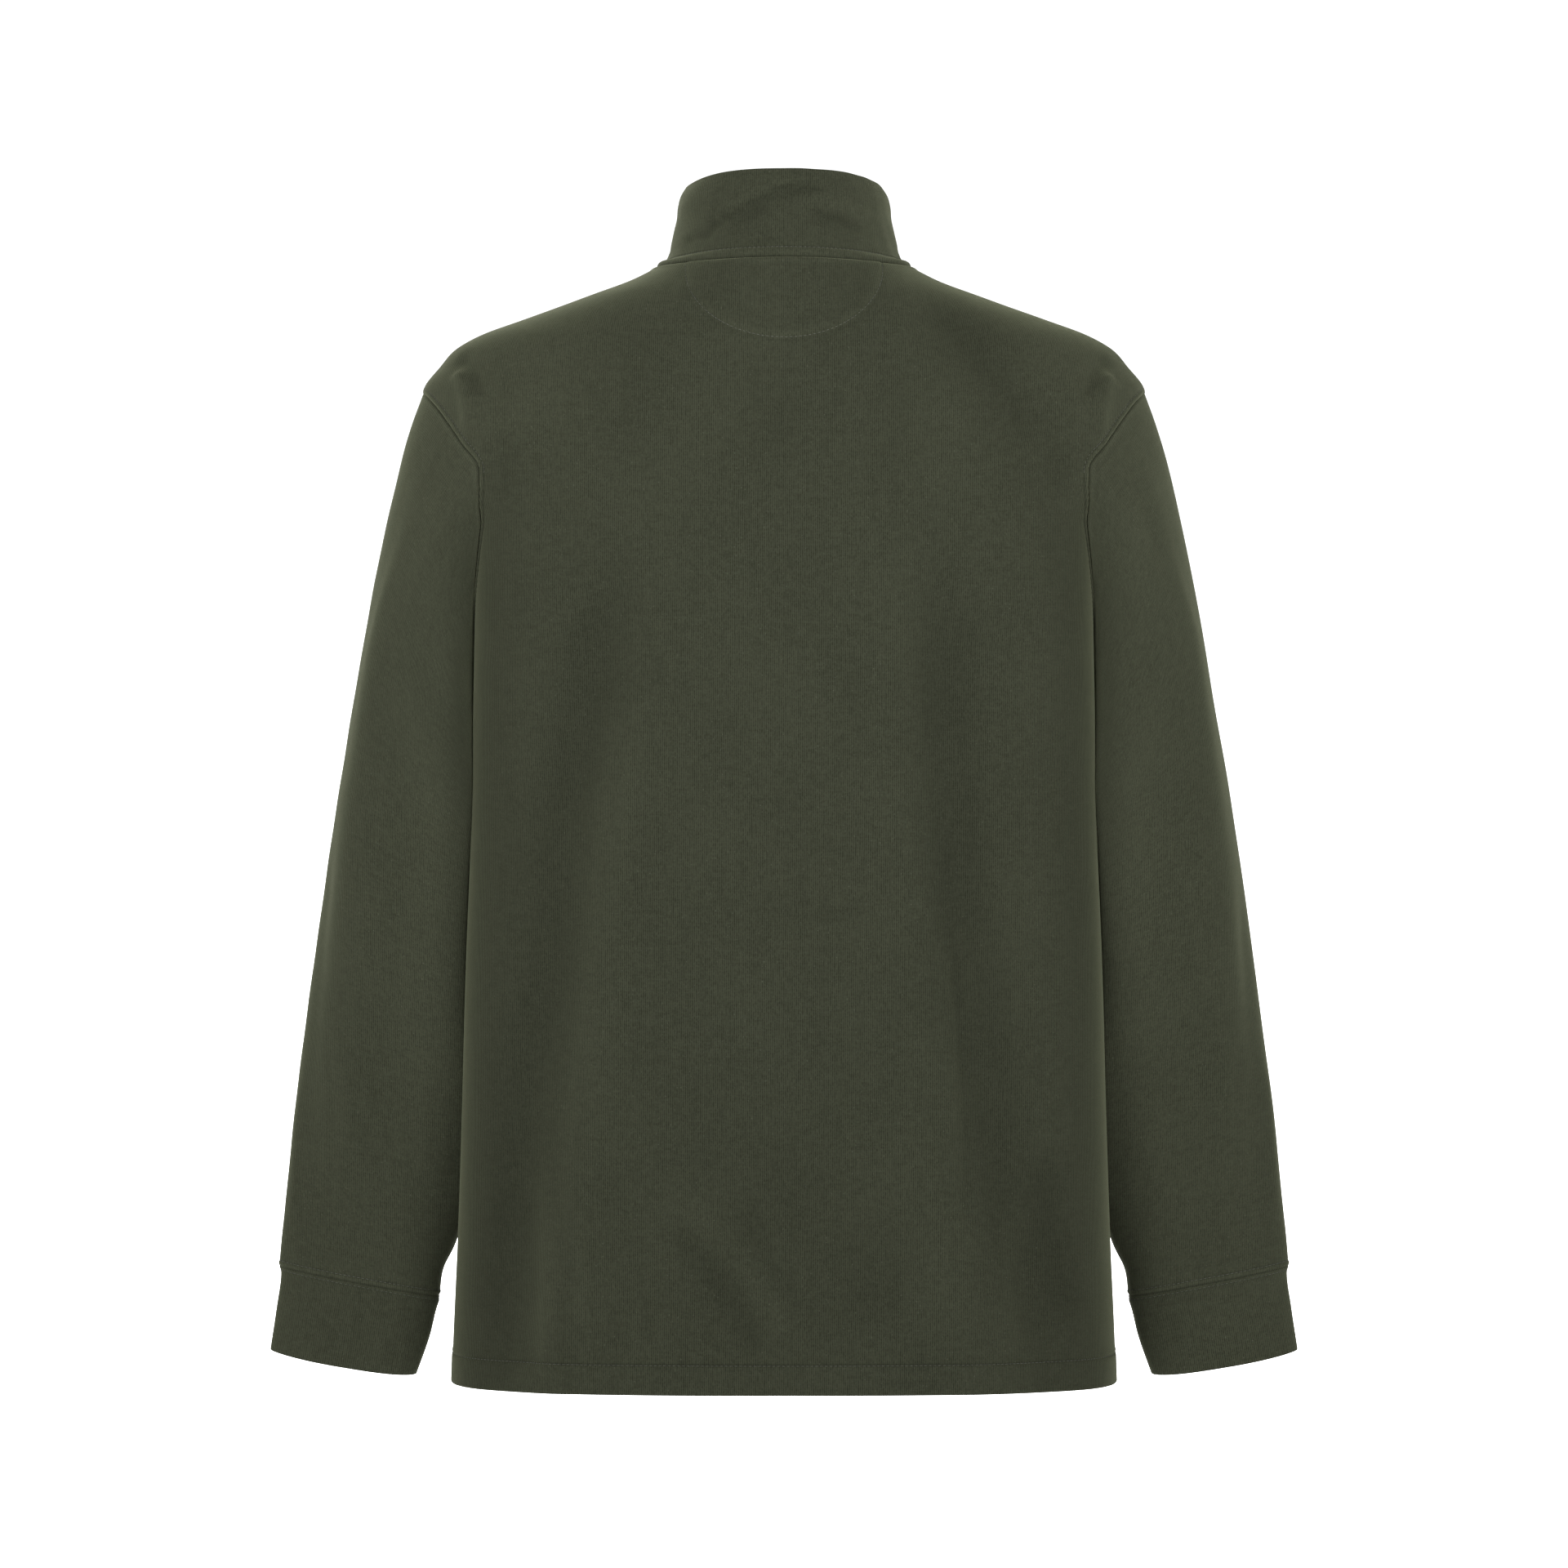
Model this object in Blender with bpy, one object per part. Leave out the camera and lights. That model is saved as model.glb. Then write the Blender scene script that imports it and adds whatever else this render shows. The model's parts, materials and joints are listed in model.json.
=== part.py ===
"""Long-sleeved polo shirt with a stand collar, filled out as it is worn, with no wearer.

Metres, +Z up. The front faces -Y and the wearer's left side is +X. The origin is the middle
of the neck, level with the two points where the shoulder seams meet the collar.
Each cut piece is one closed wall of cloth, made from a grid of points on its outer face.
Pieces that are sewn together stop a seam gap short of each other, with parallel rims.
"""

from collections import namedtuple
import math

import bmesh
import bpy
from mathutils import Matrix, Vector
from mathutils.kdtree import KDTree
import numpy as np

CLOTH = 0.0020  # one layer of the fine rib knit
DOUBLED = 0.0026  # two layers, pressed: the collar and the cuffs
BAND_CLOTH = 0.0018  # the two layers of a button band, which is trimmed and pressed flat
PATCH_CLOTH = 0.0012  # the half-moon patch inside the back neck
SEAM_GAP = 0.0003
DRAWN_BACK = 0.5  # share of the seam gap that each of two pieces in a seam is drawn back
DRAWN_AT_CORNER = 0.75  # the share where three or more meet
DRAWN_IN_FORK = 0.25  # and the share more where their faces part, up to twice this
SAME_PLACE = 0.00002  # points nearer than this are the same point of a seam
RIM_ORDER = (1.0, 0.37, 0.61)  # rims are split the same way on both sides of a seam, by this order

KNIT_COLOUR = (0.050, 0.053, 0.035, 1.0)  # dark olive
PATCH_COLOUR = (0.058, 0.061, 0.042, 1.0)
BUTTON_COLOUR = (0.030, 0.031, 0.022, 1.0)
CLOTH_ROUGHNESS = 0.9
BUTTON_ROUGHNESS = 0.35
SHARP_ANGLE = math.radians(50)  # edges that turn more than this are shaded sharp

# Torso -----------------------------------------------------------------------------------
# One ring for each level. "level" is the height of the ring at the wearer's sides. half_width
# is where the ring is widest, at widest_y. back_y and front_y are its centre back and centre
# front, which hang back_drop and front_drop below the level. Its back and front halves are
# ellipses where back_square and front_square are 2, and boxier where they are more.
HEM_LEVEL = -0.7270
UNDERARM_LEVEL = -0.3160
SHOULDER_TIP_LEVEL = -0.0810
NECK_LEVEL = 0.0

Ring = namedtuple(
    "Ring", "level half_width widest_y back_y front_y back_square front_square back_drop front_drop"
)
TORSO = (
    Ring(HEM_LEVEL, 0.2172, 0.000, 0.1240, -0.1230, 2.45, 2.45, -0.0028, 0.000),
    Ring(-0.7000, 0.2162, 0.001, 0.1230, -0.1220, 2.45, 2.45, -0.0020, 0.000),
    Ring(-0.6320, 0.2130, 0.004, 0.1180, -0.1200, 2.55, 2.50, -0.0010, 0.000),
    Ring(-0.5500, 0.2100, 0.010, 0.1140, -0.1190, 2.55, 2.55, 0.000, 0.000),
    Ring(-0.4670, 0.2076, 0.016, 0.1120, -0.1200, 2.50, 2.60, 0.000, 0.000),
    Ring(-0.3860, 0.2044, 0.022, 0.1140, -0.1240, 2.45, 2.70, 0.000, 0.001),
    Ring(UNDERARM_LEVEL, 0.2025, 0.027, 0.1180, -0.1280, 2.40, 2.80, 0.000, 0.003),
    Ring(-0.2520, 0.2010, 0.031, 0.1210, -0.1290, 2.35, 2.90, 0.001, 0.008),
    Ring(-0.1990, 0.2000, 0.034, 0.1215, -0.1265, 2.30, 3.10, 0.003, 0.015),
    Ring(-0.1700, 0.1998, 0.034, 0.1205, -0.1235, 2.30, 3.30, 0.005, 0.021),
    Ring(-0.1580, 0.2060, 0.028, 0.1195, -0.1220, 2.25, 3.20, 0.006, 0.024),
    Ring(-0.1460, 0.2200, 0.014, 0.1185, -0.1205, 2.15, 2.65, 0.007, 0.027),
    Ring(-0.1340, 0.2310, 0.004, 0.1170, -0.1185, 2.10, 2.25, 0.008, 0.030),
    Ring(-0.1200, 0.2345, 0.001, 0.1145, -0.1160, 2.08, 2.12, 0.009, 0.034),
    Ring(-0.1030, 0.2360, 0.000, 0.1115, -0.1130, 2.05, 2.08, 0.011, 0.039),
    Ring(SHOULDER_TIP_LEVEL, 0.2360, 0.000, 0.1070, -0.1085, 2.05, 2.05, 0.012, 0.045),
    Ring(-0.0641, 0.2250, 0.000, 0.1030, -0.1045, 2.02, 2.02, 0.012, 0.049),
    Ring(-0.0513, 0.2128, 0.000, 0.0990, -0.1015, 2.00, 2.00, 0.011, 0.052),
    Ring(-0.0427, 0.1965, 0.000, 0.0965, -0.0990, 2.00, 2.00, 0.010, 0.0535),
    Ring(-0.0341, 0.1725, 0.000, 0.0935, -0.0965, 2.00, 2.00, 0.009, 0.055),
    Ring(-0.0256, 0.1487, 0.000, 0.0905, -0.0940, 2.00, 2.00, 0.007, 0.056),
    Ring(-0.0170, 0.1255, 0.000, 0.0865, -0.0910, 2.00, 2.00, 0.005, 0.057),
    Ring(-0.0085, 0.1020, 0.000, 0.0820, -0.0870, 2.00, 2.00, 0.003, 0.0575),
    Ring(NECK_LEVEL, 0.0840, 0.000, 0.0770, -0.0830, 2.00, 2.00, -0.001, 0.058),
)

# The y of the seam between front and back: down the side, and along the shoulder.
Seam = namedtuple("Seam", "level y")
SIDE_SEAM = (Seam(HEM_LEVEL, -0.006), Seam(UNDERARM_LEVEL, -0.020))
SHOULDER_SEAM = (Seam(SHOULDER_TIP_LEVEL, -0.004), Seam(NECK_LEVEL, -0.010))

# The armhole's edge on the back and on the front, from the underarm (share 0) to the shoulder
# tip (share 1).
Armhole = namedtuple("Armhole", "share back_y front_y")
ARMHOLE = (
    Armhole(0.0, -0.02, -0.02),
    Armhole(0.1, -0.007, -0.035),
    Armhole(0.2, 0.006, -0.048),
    Armhole(0.3, 0.019, -0.058),
    Armhole(0.4, 0.034, -0.066),
    Armhole(0.5, 0.049, -0.069),
    Armhole(0.6, 0.0605, -0.067),
    Armhole(0.65, 0.066, -0.0645),
    Armhole(0.69, 0.0668, -0.0618),
    Armhole(0.75, 0.0558, -0.0535),
    Armhole(0.8, 0.0461, -0.046),
    Armhole(0.9, 0.025, -0.027),
    Armhole(1.0, -0.004, -0.004),
)
HEM_RAISE = 0.0006  # the turned-up hem stands out this far
HEM_CLOTH = 0.0030
HEM_STITCHES = 0.0195  # height of the hem's stitching above its edge
HEM_END = 0.0245  # and of the end of the turn-up
TURN_STEP = 0.004  # the torso's outward direction is found from points this far apart, in radians
RISE_STEP = 0.0015  # and this far apart in height
SIDE_FADE = 2.5  # over 1 lets the torso's folds run further round towards its sides

# Sleeve ----------------------------------------------------------------------------------
# One section for each place down the sleeve. Its outer point is on the silhouette, and its
# inner point is side_gap away from the torso.
Sleeve = namedtuple("Sleeve", "outer_x outer_z inner_z side_gap middle_y half_depth square")
SLEEVE = (
    Sleeve(0.2360, -0.081, -0.3160, 0.0000, -0.006, 0.0620, 2.0),
    Sleeve(0.2440, -0.103, -0.3205, 0.0026, -0.007, 0.0640, 2.1),
    Sleeve(0.2518, -0.130, -0.3260, 0.0030, -0.009, 0.0665, 2.3),
    Sleeve(0.2620, -0.174, -0.3350, 0.0030, -0.012, 0.0690, 2.5),
    Sleeve(0.2730, -0.230, -0.3490, 0.0030, -0.016, 0.0705, 2.7),
    Sleeve(0.2835, -0.290, -0.3710, 0.0030, -0.020, 0.0700, 2.8),
    Sleeve(0.2935, -0.347, -0.4030, 0.0030, -0.024, 0.0665, 2.8),
    Sleeve(0.3025, -0.403, -0.4470, 0.0030, -0.028, 0.0605, 2.7),
    Sleeve(0.3110, -0.459, -0.4970, 0.0030, -0.033, 0.0525, 2.6),
    Sleeve(0.3190, -0.516, -0.5470, 0.0030, -0.038, 0.0445, 2.5),
    Sleeve(0.3255, -0.566, -0.5940, 0.0030, -0.042, 0.0372, 2.3),
    Sleeve(0.3305, -0.614, -0.6380, 0.0120, -0.045, 0.0310, 2.2),
    Sleeve(0.3330, -0.636, -0.6580, 0.0205, -0.046, 0.0270, 2.1),
    Sleeve(0.3348, -0.656, -0.6755, 0.0222, -0.046, 0.0240, 2.1),
)
ARMHOLE_FADE = 0.34  # share of the sleeve over which the armhole's own outline fades out
SLEEVE_TOP_FADE = 6.0  # a sleeve's folds rise over one part in this many of its length
SLEEVE_FOOT_FADE = 8.0  # and fall over one part in this many

# Sections down the cuff, from its seam (share 0) to its edge (share 1). Its front and back
# hang sag below the line from its outer to its inner edge.
Cuff = namedtuple("Cuff", "share outer_x outer_z inner_x inner_z middle_y half_depth square sag")
CUFF = (
    Cuff(0.0, 0.3348, -0.6560, 0.2268, -0.6755, -0.046, 0.0240, 2.1, 0.0000),
    Cuff(0.1, 0.3336, -0.6610, 0.2290, -0.6805, -0.046, 0.0218, 2.1, 0.0003),
    Cuff(0.5, 0.3367, -0.6845, 0.2350, -0.7030, -0.047, 0.0206, 2.1, 0.0010),
    Cuff(1.0, 0.3410, -0.7125, 0.2440, -0.7285, -0.048, 0.0200, 2.1, 0.0019),
)

# Stand collar ----------------------------------------------------------------------------
# Rings from the neck seam (share 0) to the folded top edge (share 1).
Collar = namedtuple("Collar", "share half_width back_y front_y side_z back_z front_z")
COLLAR = (
    Collar(0.00, 0.0840, 0.0770, -0.0830, 0.0000, 0.0010, -0.0580),
    Collar(0.08, 0.0778, 0.0760, -0.0828, 0.0050, 0.0056, -0.0532),
    Collar(0.16, 0.0753, 0.0750, -0.0824, 0.0095, 0.0100, -0.0484),
    Collar(0.30, 0.0738, 0.0735, -0.0818, 0.0165, 0.0178, -0.0400),
    Collar(0.45, 0.0720, 0.0718, -0.0812, 0.0246, 0.0262, -0.0310),
    Collar(0.60, 0.0702, 0.0702, -0.0806, 0.0327, 0.0353, -0.0220),
    Collar(0.75, 0.0695, 0.0690, -0.0800, 0.0404, 0.0443, -0.0130),
    Collar(0.87, 0.0678, 0.0674, -0.0792, 0.0470, 0.0518, -0.0058),
    Collar(1.00, 0.0640, 0.0650, -0.0780, 0.0533, 0.0595, 0.0020),
)

# Placket, buttons and patch --------------------------------------------------------------
SLOT_HALF = 0.0130  # half the width of the slot that the under band fills
BAND_OVERLAP = 0.0025  # how far the top band runs on beyond the slot's sides
BAND_FOOT = 0.0045  # and below its foot
BUTTON_COUNT = 4
BUTTON_TOP = 0.014  # the first button's distance below the collar's top edge
BUTTON_SPACING = 0.056
BUTTON_RADIUS = 0.0056
BUTTON_THICKNESS = 0.0024
BUTTON_RIM = 0.0012  # width of the raised rim
BUTTON_DISH = 0.0006  # how far the face is sunk inside the rim
BUTTON_ROUNDING = 0.0005
CUTTER_LENGTH = 3 * BUTTON_THICKNESS
SEWING_HOLE_RADIUS = 0.0008
SEWING_HOLE_SPREAD = 0.0013  # from the button's centre to each sewing hole, along both ways
PATCH_HALF_WIDTH = 0.0635
PATCH_TOP = 0.003  # the patch starts this far below the neck seam
PATCH_STRAIGHT = 0.008  # its sides run straight to here
PATCH_ROUND = 0.0435  # and its lower edge is half an ellipse this deep

# Folds -----------------------------------------------------------------------------------
# A soft trough (depth under 0) or ridge, along a curve through three points. On the torso a
# point is x and height. On a sleeve it is the distance round from the outer edge, over 0
# towards the back, and the distance from the shoulder tip.
Fold = namedtuple("Fold", "top middle bottom width depth")
BACK_FOLDS = (
    Fold((0.106, -0.180), (0.1545, -0.400), (0.189, -0.735), 0.022, -0.0065),
    Fold((0.104, -0.300), (0.122, -0.490), (0.150, -0.735), 0.017, 0.0040),
    Fold((-0.099, -0.175), (-0.104, -0.400), (-0.178, -0.735), 0.022, -0.0060),
    Fold((-0.070, -0.180), (-0.077, -0.380), (-0.118, -0.735), 0.018, 0.0030),
    Fold((-0.068, -0.035), (-0.126, -0.078), (-0.172, -0.140), 0.020, -0.0025),
    Fold((0.212, -0.080), (0.198, -0.100), (0.193, -0.128), 0.007, 0.0022),
    Fold((-0.212, -0.080), (-0.198, -0.100), (-0.193, -0.128), 0.007, 0.0022),
)
FRONT_FOLDS = (
    Fold((0.120, -0.215), (0.132, -0.420), (0.162, -0.730), 0.024, -0.0055),
    Fold((0.085, -0.330), (0.090, -0.500), (0.112, -0.730), 0.019, 0.0030),
    Fold((-0.112, -0.230), (-0.128, -0.440), (-0.150, -0.730), 0.024, -0.0050),
    Fold((-0.060, -0.380), (-0.066, -0.540), (-0.086, -0.730), 0.020, -0.0028),
    Fold((0.150, -0.130), (0.125, -0.180), (0.085, -0.240), 0.016, -0.0025),
    Fold((-0.150, -0.130), (-0.128, -0.175), (-0.092, -0.225), 0.016, -0.0022),
)
LEFT_SLEEVE_FOLDS = (
    Fold((0.062, 0.080), (0.064, 0.300), (0.058, 0.560), 0.016, 0.0030),
    Fold((0.034, 0.260), (0.030, 0.420), (0.036, 0.560), 0.014, -0.0026),
    Fold((-0.050, 0.120), (-0.056, 0.300), (-0.044, 0.540), 0.016, -0.0030),
    Fold((-0.030, 0.240), (-0.036, 0.330), (-0.074, 0.400), 0.013, -0.0028),
)
RIGHT_SLEEVE_FOLDS = (
    Fold((0.060, 0.090), (0.063, 0.320), (0.056, 0.555), 0.017, 0.0026),
    Fold((0.032, 0.300), (0.034, 0.440), (0.030, 0.565), 0.013, -0.0028),
    Fold((-0.052, 0.140), (-0.050, 0.330), (-0.046, 0.545), 0.017, -0.0026),
    Fold((-0.028, 0.260), (-0.040, 0.340), (-0.076, 0.395), 0.014, -0.0024),
)
FOLD_STEPS = 24
FOLD_TOP_FADE = 4.0  # a fold rises to its depth over one part in this many of its length
FOLD_FOOT_FADE = 5.0
FOLD_FOOT_LEFT = 0.35  # and keeps this share of its depth at its foot

# Grids -----------------------------------------------------------------------------------
HEM_ROWS = 2
BODY_ROWS = 10
ARMHOLE_ROWS = 10
SHOULDER_ROWS = 9
BACK_COLUMNS = 22
FRONT_COLUMNS = 10  # from each side to the slot
SLEEVE_ROWS = 17
SLEEVE_CROWDING = 1.12  # over 1 sets the sleeve's rows closer together towards the armhole
MEASURING_POINTS = 160  # points on a curve that is divided evenly by its length
CUFF_SHARES = (0.0, 0.1, 0.5, 1.0)
COLLAR_SHARES = (0.0, 0.10, 0.30, 0.60, 0.85, 1.0)
PATCH_COLUMNS = 12
PATCH_ROWS = 4
BUTTON_SIDES = 16
SEWING_HOLE_SIDES = 6


class Piece:
    """A cut piece of cloth: a grid of points on its outer face, made into a closed wall.

    Columns run across the piece and rows along it, in the order that turns the face outwards.
    A closed piece joins its last column to its first. The cells in left_out are a notch.
    """

    def __init__(self, name, outer, thickness, closed=False, left_out=()):
        self.name = name
        self.outer = outer.copy()
        self.thickness = np.broadcast_to(thickness, outer.shape[:2]).copy()
        self.closed = closed
        self.left_out = set(left_out)
        self.outward = grid_normals(outer, closed)

    def inner(self):
        """The points of the inner face."""
        return self.outer - self.outward * self.thickness[..., None]

    def cells(self):
        """The four corners of each cell of the grid."""
        rows, columns = self.outer.shape[:2]
        for row in range(rows - 1):
            for col in range(columns if self.closed else columns - 1):
                if (row, col) not in self.left_out:
                    following = (col + 1) % columns
                    yield (row, col), (row, following), (row + 1, following), (row + 1, col)

    def border(self):
        """Each point of the border, with the direction from it into the piece."""
        sides, inwards = set(), {}
        for cell in self.cells():
            centre = np.mean([self.outer[corner] for corner in cell], axis=0)
            sides.update(zip(cell, cell[1:] + cell[:1]))
            for corner in cell:
                inwards[corner] = inwards.get(corner, 0) + unit(centre - self.outer[corner])
        return {start: unit(inwards[start]) for start, stop in sides if (stop, start) not in sides}

    def mesh(self):
        """The closed wall: outer face, inner face and rims."""
        rows, columns = self.outer.shape[:2]
        points = np.concatenate([self.outer.reshape(-1, 3), self.inner().reshape(-1, 3)])
        below = rows * columns
        faces, sides = [], set()
        for cell in self.cells():
            corners = [row * columns + col for row, col in cell]
            faces.append(corners)
            faces.append([below + corner for corner in reversed(corners)])
            sides.update(zip(corners, corners[1:] + corners[:1]))
        for start, stop in sorted(side for side in sides if side[::-1] not in sides):
            first = below * (points[start].dot(RIM_ORDER) > points[stop].dot(RIM_ORDER))
            faces.append([stop, start, start + below if not first else stop + below])
            faces.append([start + below, stop + below, stop if not first else start])
        used = sorted({index for face in faces for index in face})
        place = {index: new for new, index in enumerate(used)}
        mesh = bpy.data.meshes.new(self.name)
        mesh.from_pydata(points[used].tolist(), [], [[place[i] for i in face] for face in faces])
        return mesh


def column(table, name):
    """One named column of a table, as an array."""
    return np.array([getattr(row, name) for row in table], float)


def through(keys, values, at):
    """A smooth curve through the values at rising keys, with no overshoot, read at each place."""
    steps = np.diff(keys)
    slopes = np.diff(values) / steps
    tangents = np.empty(len(values))
    tangents[0], tangents[-1] = slopes[0], slopes[-1]
    mixed = (slopes[:-1] * steps[1:] + slopes[1:] * steps[:-1]) / (steps[:-1] + steps[1:])
    tangents[1:-1] = np.where(slopes[:-1] * slopes[1:] > 0, mixed, 0.0)
    at = np.clip(at, keys[0], keys[-1])
    i = np.clip(np.searchsorted(keys, at, side="right") - 1, 0, len(keys) - 2)
    t = (at - keys[i]) / steps[i]
    return (
        values[i] * (1 + 2 * t) * (1 - t) ** 2
        + values[i + 1] * t * t * (3 - 2 * t)
        + steps[i] * (tangents[i] * t * (1 - t) ** 2 - tangents[i + 1] * t * t * (1 - t))
    )


def read(table, keys, at):
    """Every column of a table, read smoothly at one or more places along its keys."""
    row_type = type(table[0])
    return row_type(*(through(keys, column(table, name), at) for name in row_type._fields))


def ring_at(level):
    """The torso's ring at one or more levels."""
    return read(TORSO, column(TORSO, "level"), level)


def power_of(value, exponent):
    """A power that keeps the sign, for rounded rectangles."""
    return np.sign(value) * np.abs(value) ** exponent


def unit(vectors):
    """The vectors at length 1."""
    return vectors / np.maximum(np.linalg.norm(vectors, axis=-1, keepdims=True), 1e-12)


def soft_step(value):
    """0 up to 0, 1 from 1, and a smooth rise between."""
    value = np.clip(value, 0.0, 1.0)
    return value * value * (3 - 2 * value)


def grid_normals(grid, closed=False):
    """Outward directions at a grid's points, from its neighbours on each side."""
    if closed:
        across = np.roll(grid, -1, axis=1) - np.roll(grid, 1, axis=1)
    else:
        across = np.gradient(grid, axis=1)
    return unit(np.cross(across, np.gradient(grid, axis=0)))


def fold_height(folds, across, along):
    """How far the folds push the cloth out at each place."""
    total = np.zeros(np.shape(across))
    share = np.linspace(0.0, 1.0, FOLD_STEPS)
    for fold in folds:
        top, middle, bottom = (np.array(point) for point in fold[:3])
        handle = 2 * middle - (top + bottom) / 2
        line = (
            np.outer((1 - share) ** 2, top)
            + np.outer(2 * share * (1 - share), handle)
            + np.outer(share**2, bottom)
        )
        away = np.hypot(across[..., None] - line[:, 0], along[..., None] - line[:, 1])
        nearest = share[away.argmin(axis=-1)]
        fade = soft_step(nearest * FOLD_TOP_FADE)
        fade *= soft_step((1 - nearest) * FOLD_FOOT_FADE + FOLD_FOOT_LEFT)
        total += fold.depth * np.exp(-((away.min(axis=-1) / fold.width) ** 2)) * fade
    return total


def torso_plain(level, angle):
    """A point of the torso before its folds. Angle 0 is the wearer's left side, 90 degrees the
    centre back and -90 degrees the centre front."""
    ring = ring_at(level)
    cosine, sine = np.cos(angle), np.sin(angle)
    behind = sine >= 0
    reach = np.where(behind, ring.back_y - ring.widest_y, ring.widest_y - ring.front_y)
    drop = np.where(behind, ring.back_drop, ring.front_drop)
    square = np.where(behind, ring.back_square, ring.front_square)
    x = ring.half_width * power_of(cosine, 2 / square)
    y = ring.widest_y + reach * power_of(sine, 2 / square)
    return np.stack([x, y, level - drop * sine**2], axis=-1)


def torso_point(level, angle):
    """A point of the torso's outer face, with its folds and the raised hem."""
    level, angle = np.broadcast_arrays(np.asarray(level, float), np.asarray(angle, float))
    point = torso_plain(level, angle)
    across = torso_plain(level, angle + TURN_STEP) - torso_plain(level, angle - TURN_STEP)
    along = torso_plain(level + RISE_STEP, angle) - torso_plain(level - RISE_STEP, angle)
    x, z = point[..., 0], point[..., 2]
    push = soft_step(SIDE_FADE * np.sin(angle)) * fold_height(BACK_FOLDS, x, z)
    band_edge = SLOT_HALF + BAND_OVERLAP
    beside_bands = soft_step((np.abs(x) - band_edge) / (2 * band_edge))
    push += soft_step(-SIDE_FADE * np.sin(angle)) * beside_bands * fold_height(FRONT_FOLDS, x, z)
    push += HEM_RAISE * (1 - soft_step((level - HEM_LEVEL - HEM_STITCHES) / (HEM_END - HEM_STITCHES)))
    return point + unit(np.cross(across, along)) * push[..., None]


def angle_at_y(level, y):
    """The angle, on the wearer's left side, at which a ring passes this y."""
    ring = ring_at(level)
    behind = y >= ring.widest_y
    reach = np.where(behind, ring.back_y - ring.widest_y, ring.widest_y - ring.front_y)
    square = np.where(behind, ring.back_square, ring.front_square)
    return np.arcsin(power_of((y - ring.widest_y) / reach, square / 2))


def armhole_level(share):
    """The level of the armhole's points, which crowd at its two rounded ends."""
    return UNDERARM_LEVEL + (SHOULDER_TIP_LEVEL - UNDERARM_LEVEL) * (1 - math.cos(math.pi * share)) / 2


def panel_rows():
    """Each row of the panels, up from the hem: its level, and the y where each panel ends."""
    rows = []
    turned_up = np.linspace(HEM_LEVEL, HEM_LEVEL + HEM_STITCHES, HEM_ROWS)
    above_hem = np.linspace(HEM_LEVEL + HEM_END, UNDERARM_LEVEL, BODY_ROWS + 1)[:-1]
    for level in np.concatenate([turned_up, above_hem]).tolist():
        y = float(np.interp(level, column(SIDE_SEAM, "level"), column(SIDE_SEAM, "y")))
        rows.append((level, y, y))
    for step in range(ARMHOLE_ROWS + 1):
        edge = read(ARMHOLE, column(ARMHOLE, "share"), step / ARMHOLE_ROWS)
        rows.append((armhole_level(step / ARMHOLE_ROWS), float(edge.back_y), float(edge.front_y)))
    for level in evenly_up_the_shoulder()[1:]:
        y = float(np.interp(level, column(SHOULDER_SEAM, "level"), column(SHOULDER_SEAM, "y")))
        rows.append((level, y, y))
    return rows


def evenly_up_the_shoulder():
    """Levels from the shoulder tip to the neck, evenly spaced along the seam."""
    fine = np.linspace(SHOULDER_TIP_LEVEL, NECK_LEVEL, MEASURING_POINTS)
    steps = np.hypot(np.diff(ring_at(fine).half_width), np.diff(fine))
    walked = np.concatenate([[0], np.cumsum(steps)])
    return np.interp(np.linspace(0, walked[-1], SHOULDER_ROWS + 1), walked, fine).tolist()


def evenly_round(level, start, stop, count):
    """Angles on a ring from start to stop, evenly spaced by length."""
    fine = np.linspace(start, stop, MEASURING_POINTS)
    steps = np.linalg.norm(np.diff(torso_plain(level, fine), axis=0), axis=1)
    walked = np.concatenate([[0], np.cumsum(steps)])
    return np.interp(np.linspace(0, walked[-1], count + 1), walked, fine)


def panel_angles():
    """The levels, and the angles of the back's and the front's columns, row by row."""
    levels, back, front = [], [], []
    for level, back_y, front_y in panel_rows():
        ring = ring_at(level)
        side = float(angle_at_y(level, back_y))
        levels.append([level])
        back.append(evenly_round(level, side, math.pi - side, BACK_COLUMNS))
        side = float(angle_at_y(level, front_y))
        slot = -math.acos((SLOT_HALF / ring.half_width) ** (ring.front_square / 2))
        left = evenly_round(level, slot, side, FRONT_COLUMNS)
        front.append(np.concatenate([-math.pi - left[::-1], [-math.pi / 2], left]))
    return np.array(levels), np.array(back), np.array(front)


def armhole_loop(turns, side):
    """The armhole of one side, as if on the left, from the shoulder tip down its front."""
    points = []
    for turn in turns:
        in_front = turn <= math.pi
        share = 1 - turn / math.pi if in_front else turn / math.pi - 1
        edge = read(ARMHOLE, column(ARMHOLE, "share"), share)
        level = armhole_level(share)
        angle = float(angle_at_y(level, edge.front_y if in_front else edge.back_y))
        points.append(torso_point(level, angle if side > 0 else math.pi - angle))
    return np.array(points) * (side, 1, 1)


def section_point(row, inner_x, turn):
    """A point of a sleeve's or cuff's section. Turn 0 is its outer edge, 90 degrees its front."""
    out, ahead = power_of(np.cos(turn), 2 / row.square), power_of(np.sin(turn), 2 / row.square)
    x = (row.outer_x + inner_x) / 2 + out * (row.outer_x - inner_x) / 2
    z = (row.outer_z + row.inner_z) / 2 + out * (row.outer_z - row.inner_z) / 2
    return np.stack([x, row.middle_y - ahead * row.half_depth, z], axis=-1)


def sleeve_section(share, turn):
    """A point of the left sleeve before the armhole's own outline and the folds."""
    row = read(SLEEVE, np.linspace(0.0, 1.0, len(SLEEVE)), share)
    beside = torso_plain(row.inner_z, angle_at_y(row.inner_z, row.middle_y))[..., 0]
    return section_point(row, beside + row.side_gap, turn)


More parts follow.
